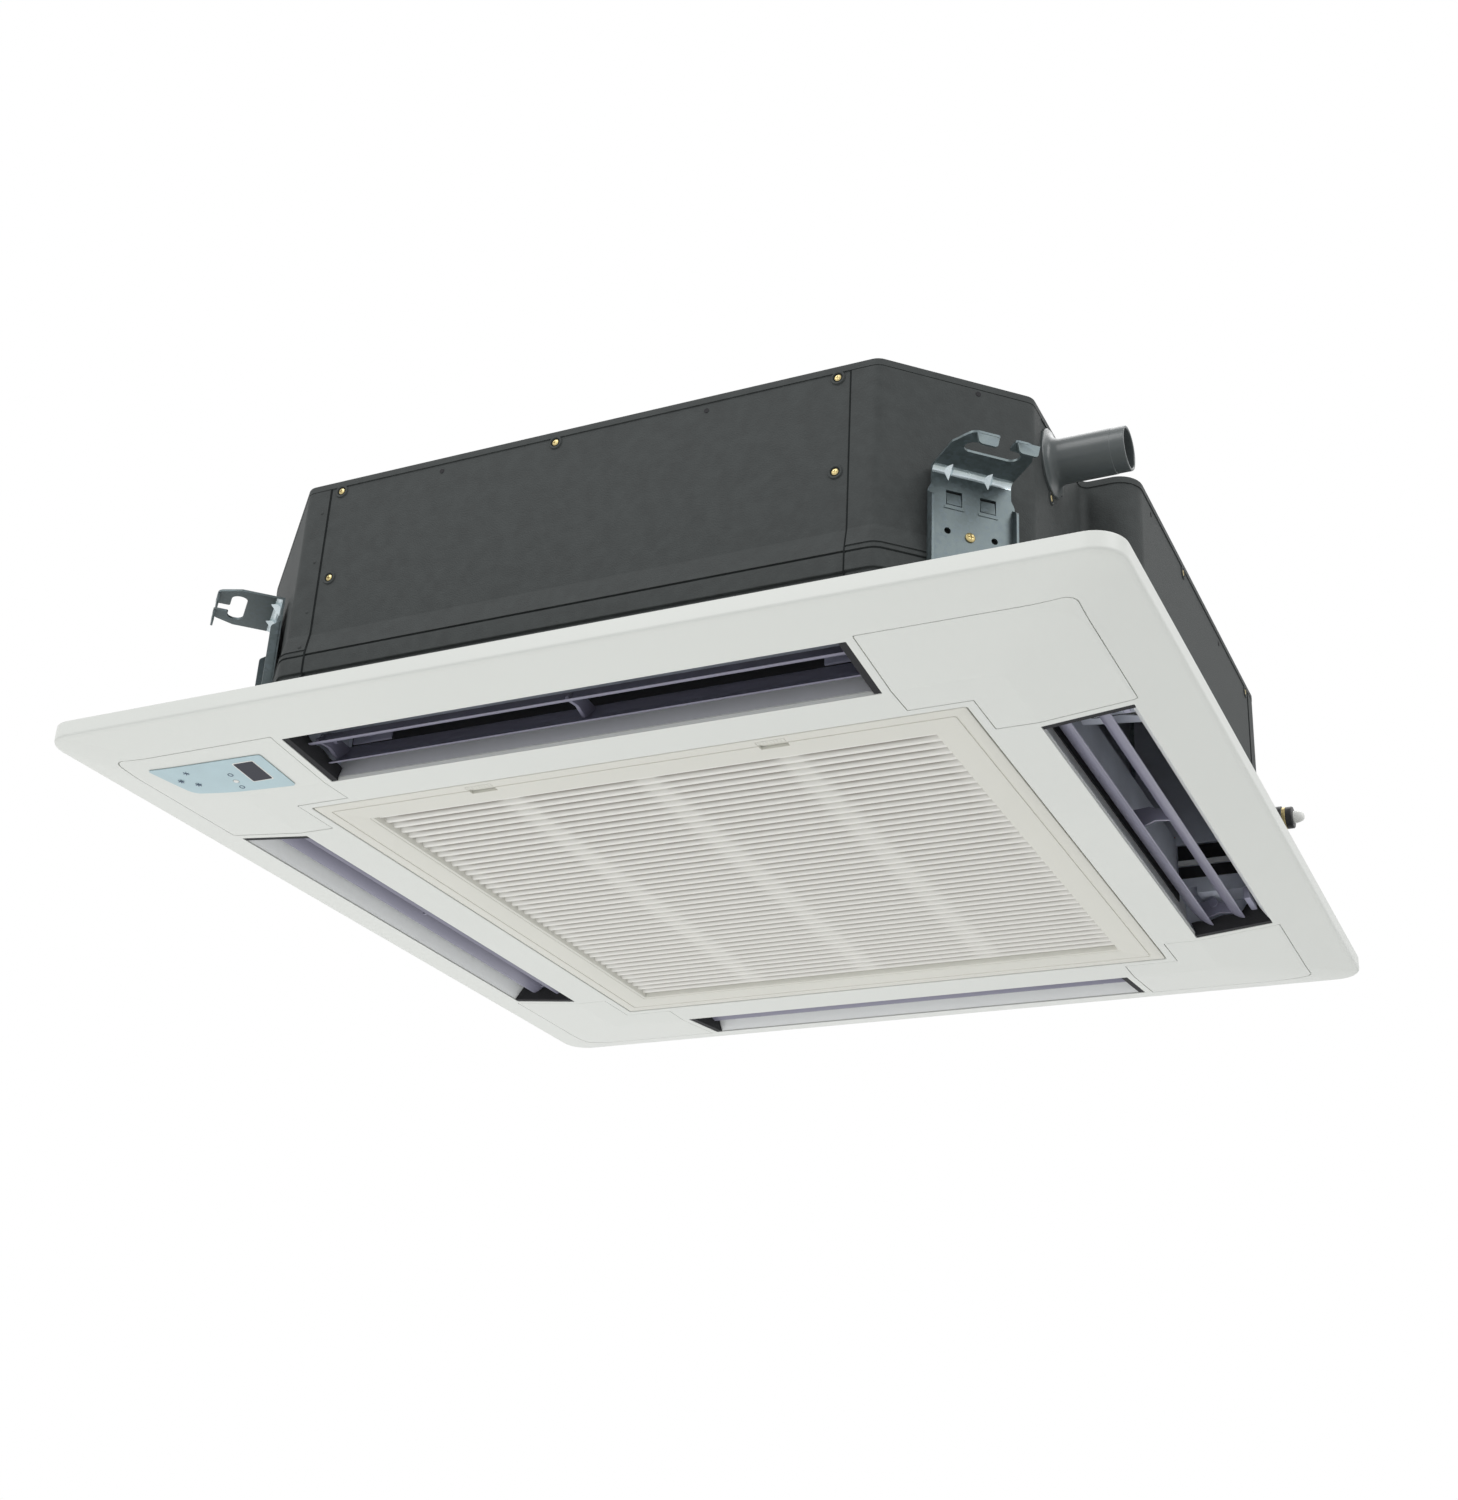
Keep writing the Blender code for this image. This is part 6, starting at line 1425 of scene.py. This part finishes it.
def soft_light(name, place_at, target, size, power):
    """A square lamp turned towards its target, which the camera doesn't see."""
    light = bpy.data.lights.new(name, "AREA")
    light.shape = "SQUARE"
    light.size = size
    light.energy = power
    lamp = bpy.data.objects.new(name, light)
    lamp.location = place_at
    lamp.rotation_euler = (Vector(target) - Vector(place_at)).to_track_quat("-Z", "Y").to_euler()
    lamp.visible_camera = False
    bpy.context.scene.collection.objects.link(lamp)


def build_stage():
    floor = make("floor", box((-6, -6, -2.42), (6, 6, -2.4)),
        plain_finish("floor", (0.86, 0.86, 0.85), 0.8, (40.0, 0.02, 0.0005), (0.01, 2.0)))
    background()
    soft_light("from_below", (-0.4, 0.0, -2.35), (0, 0, 0), 4.6, 46.5)
    soft_light("key", (-0.9, -2.4, 2.3), (0, 0, 0.1), 1.8, 42.0)
    soft_light("side", (2.6, -0.9, 1.6), (0, 0, 0.1), 1.6, 26.0)
    soft_light("top", (0.2, 1.2, 2.6), (0, 0, 0.2), 2.4, 30.0)


def build_camera():
    """Camera that was fitted to the photo's panel, with the small roll of the photo."""
    camera = bpy.data.cameras.new("camera")
    camera.lens = CAMERA_LENS
    camera.sensor_width = 36.0
    view = bpy.data.objects.new("camera", camera)
    forward = Vector(CAMERA_FORWARD).normalized()
    right = forward.cross(Vector((0, 0, 1))).normalized()
    up = right.cross(forward)
    roll = math.radians(CAMERA_ROLL)
    tilted_right = right * math.cos(roll) + up * math.sin(roll)
    tilted_up = tilted_right.cross(forward)
    turn = Matrix((tilted_right, tilted_up, -forward)).transposed().to_4x4()
    view.matrix_world = Matrix.Translation(CAMERA_AT) @ turn
    bpy.context.scene.collection.objects.link(view)
    bpy.context.scene.camera = view
    bpy.context.scene.view_settings.view_transform = "Standard"


build_casing()
build_lid()
build_corner_sheets()
build_seams()
build_fastenings()
build_hangers()
build_drain_stub()
build_water_connections()
build_panel()
build_corner_covers()
build_display()
for side_name in SIDES:
    build_lips(side_name)
    build_seals(side_name)
    line_duct(side_name)
build_duct_end()
build_louvers()
build_grille()
build_latches()
build_fan()
build_inlet()
dress_inside()
build_stage()
build_camera()
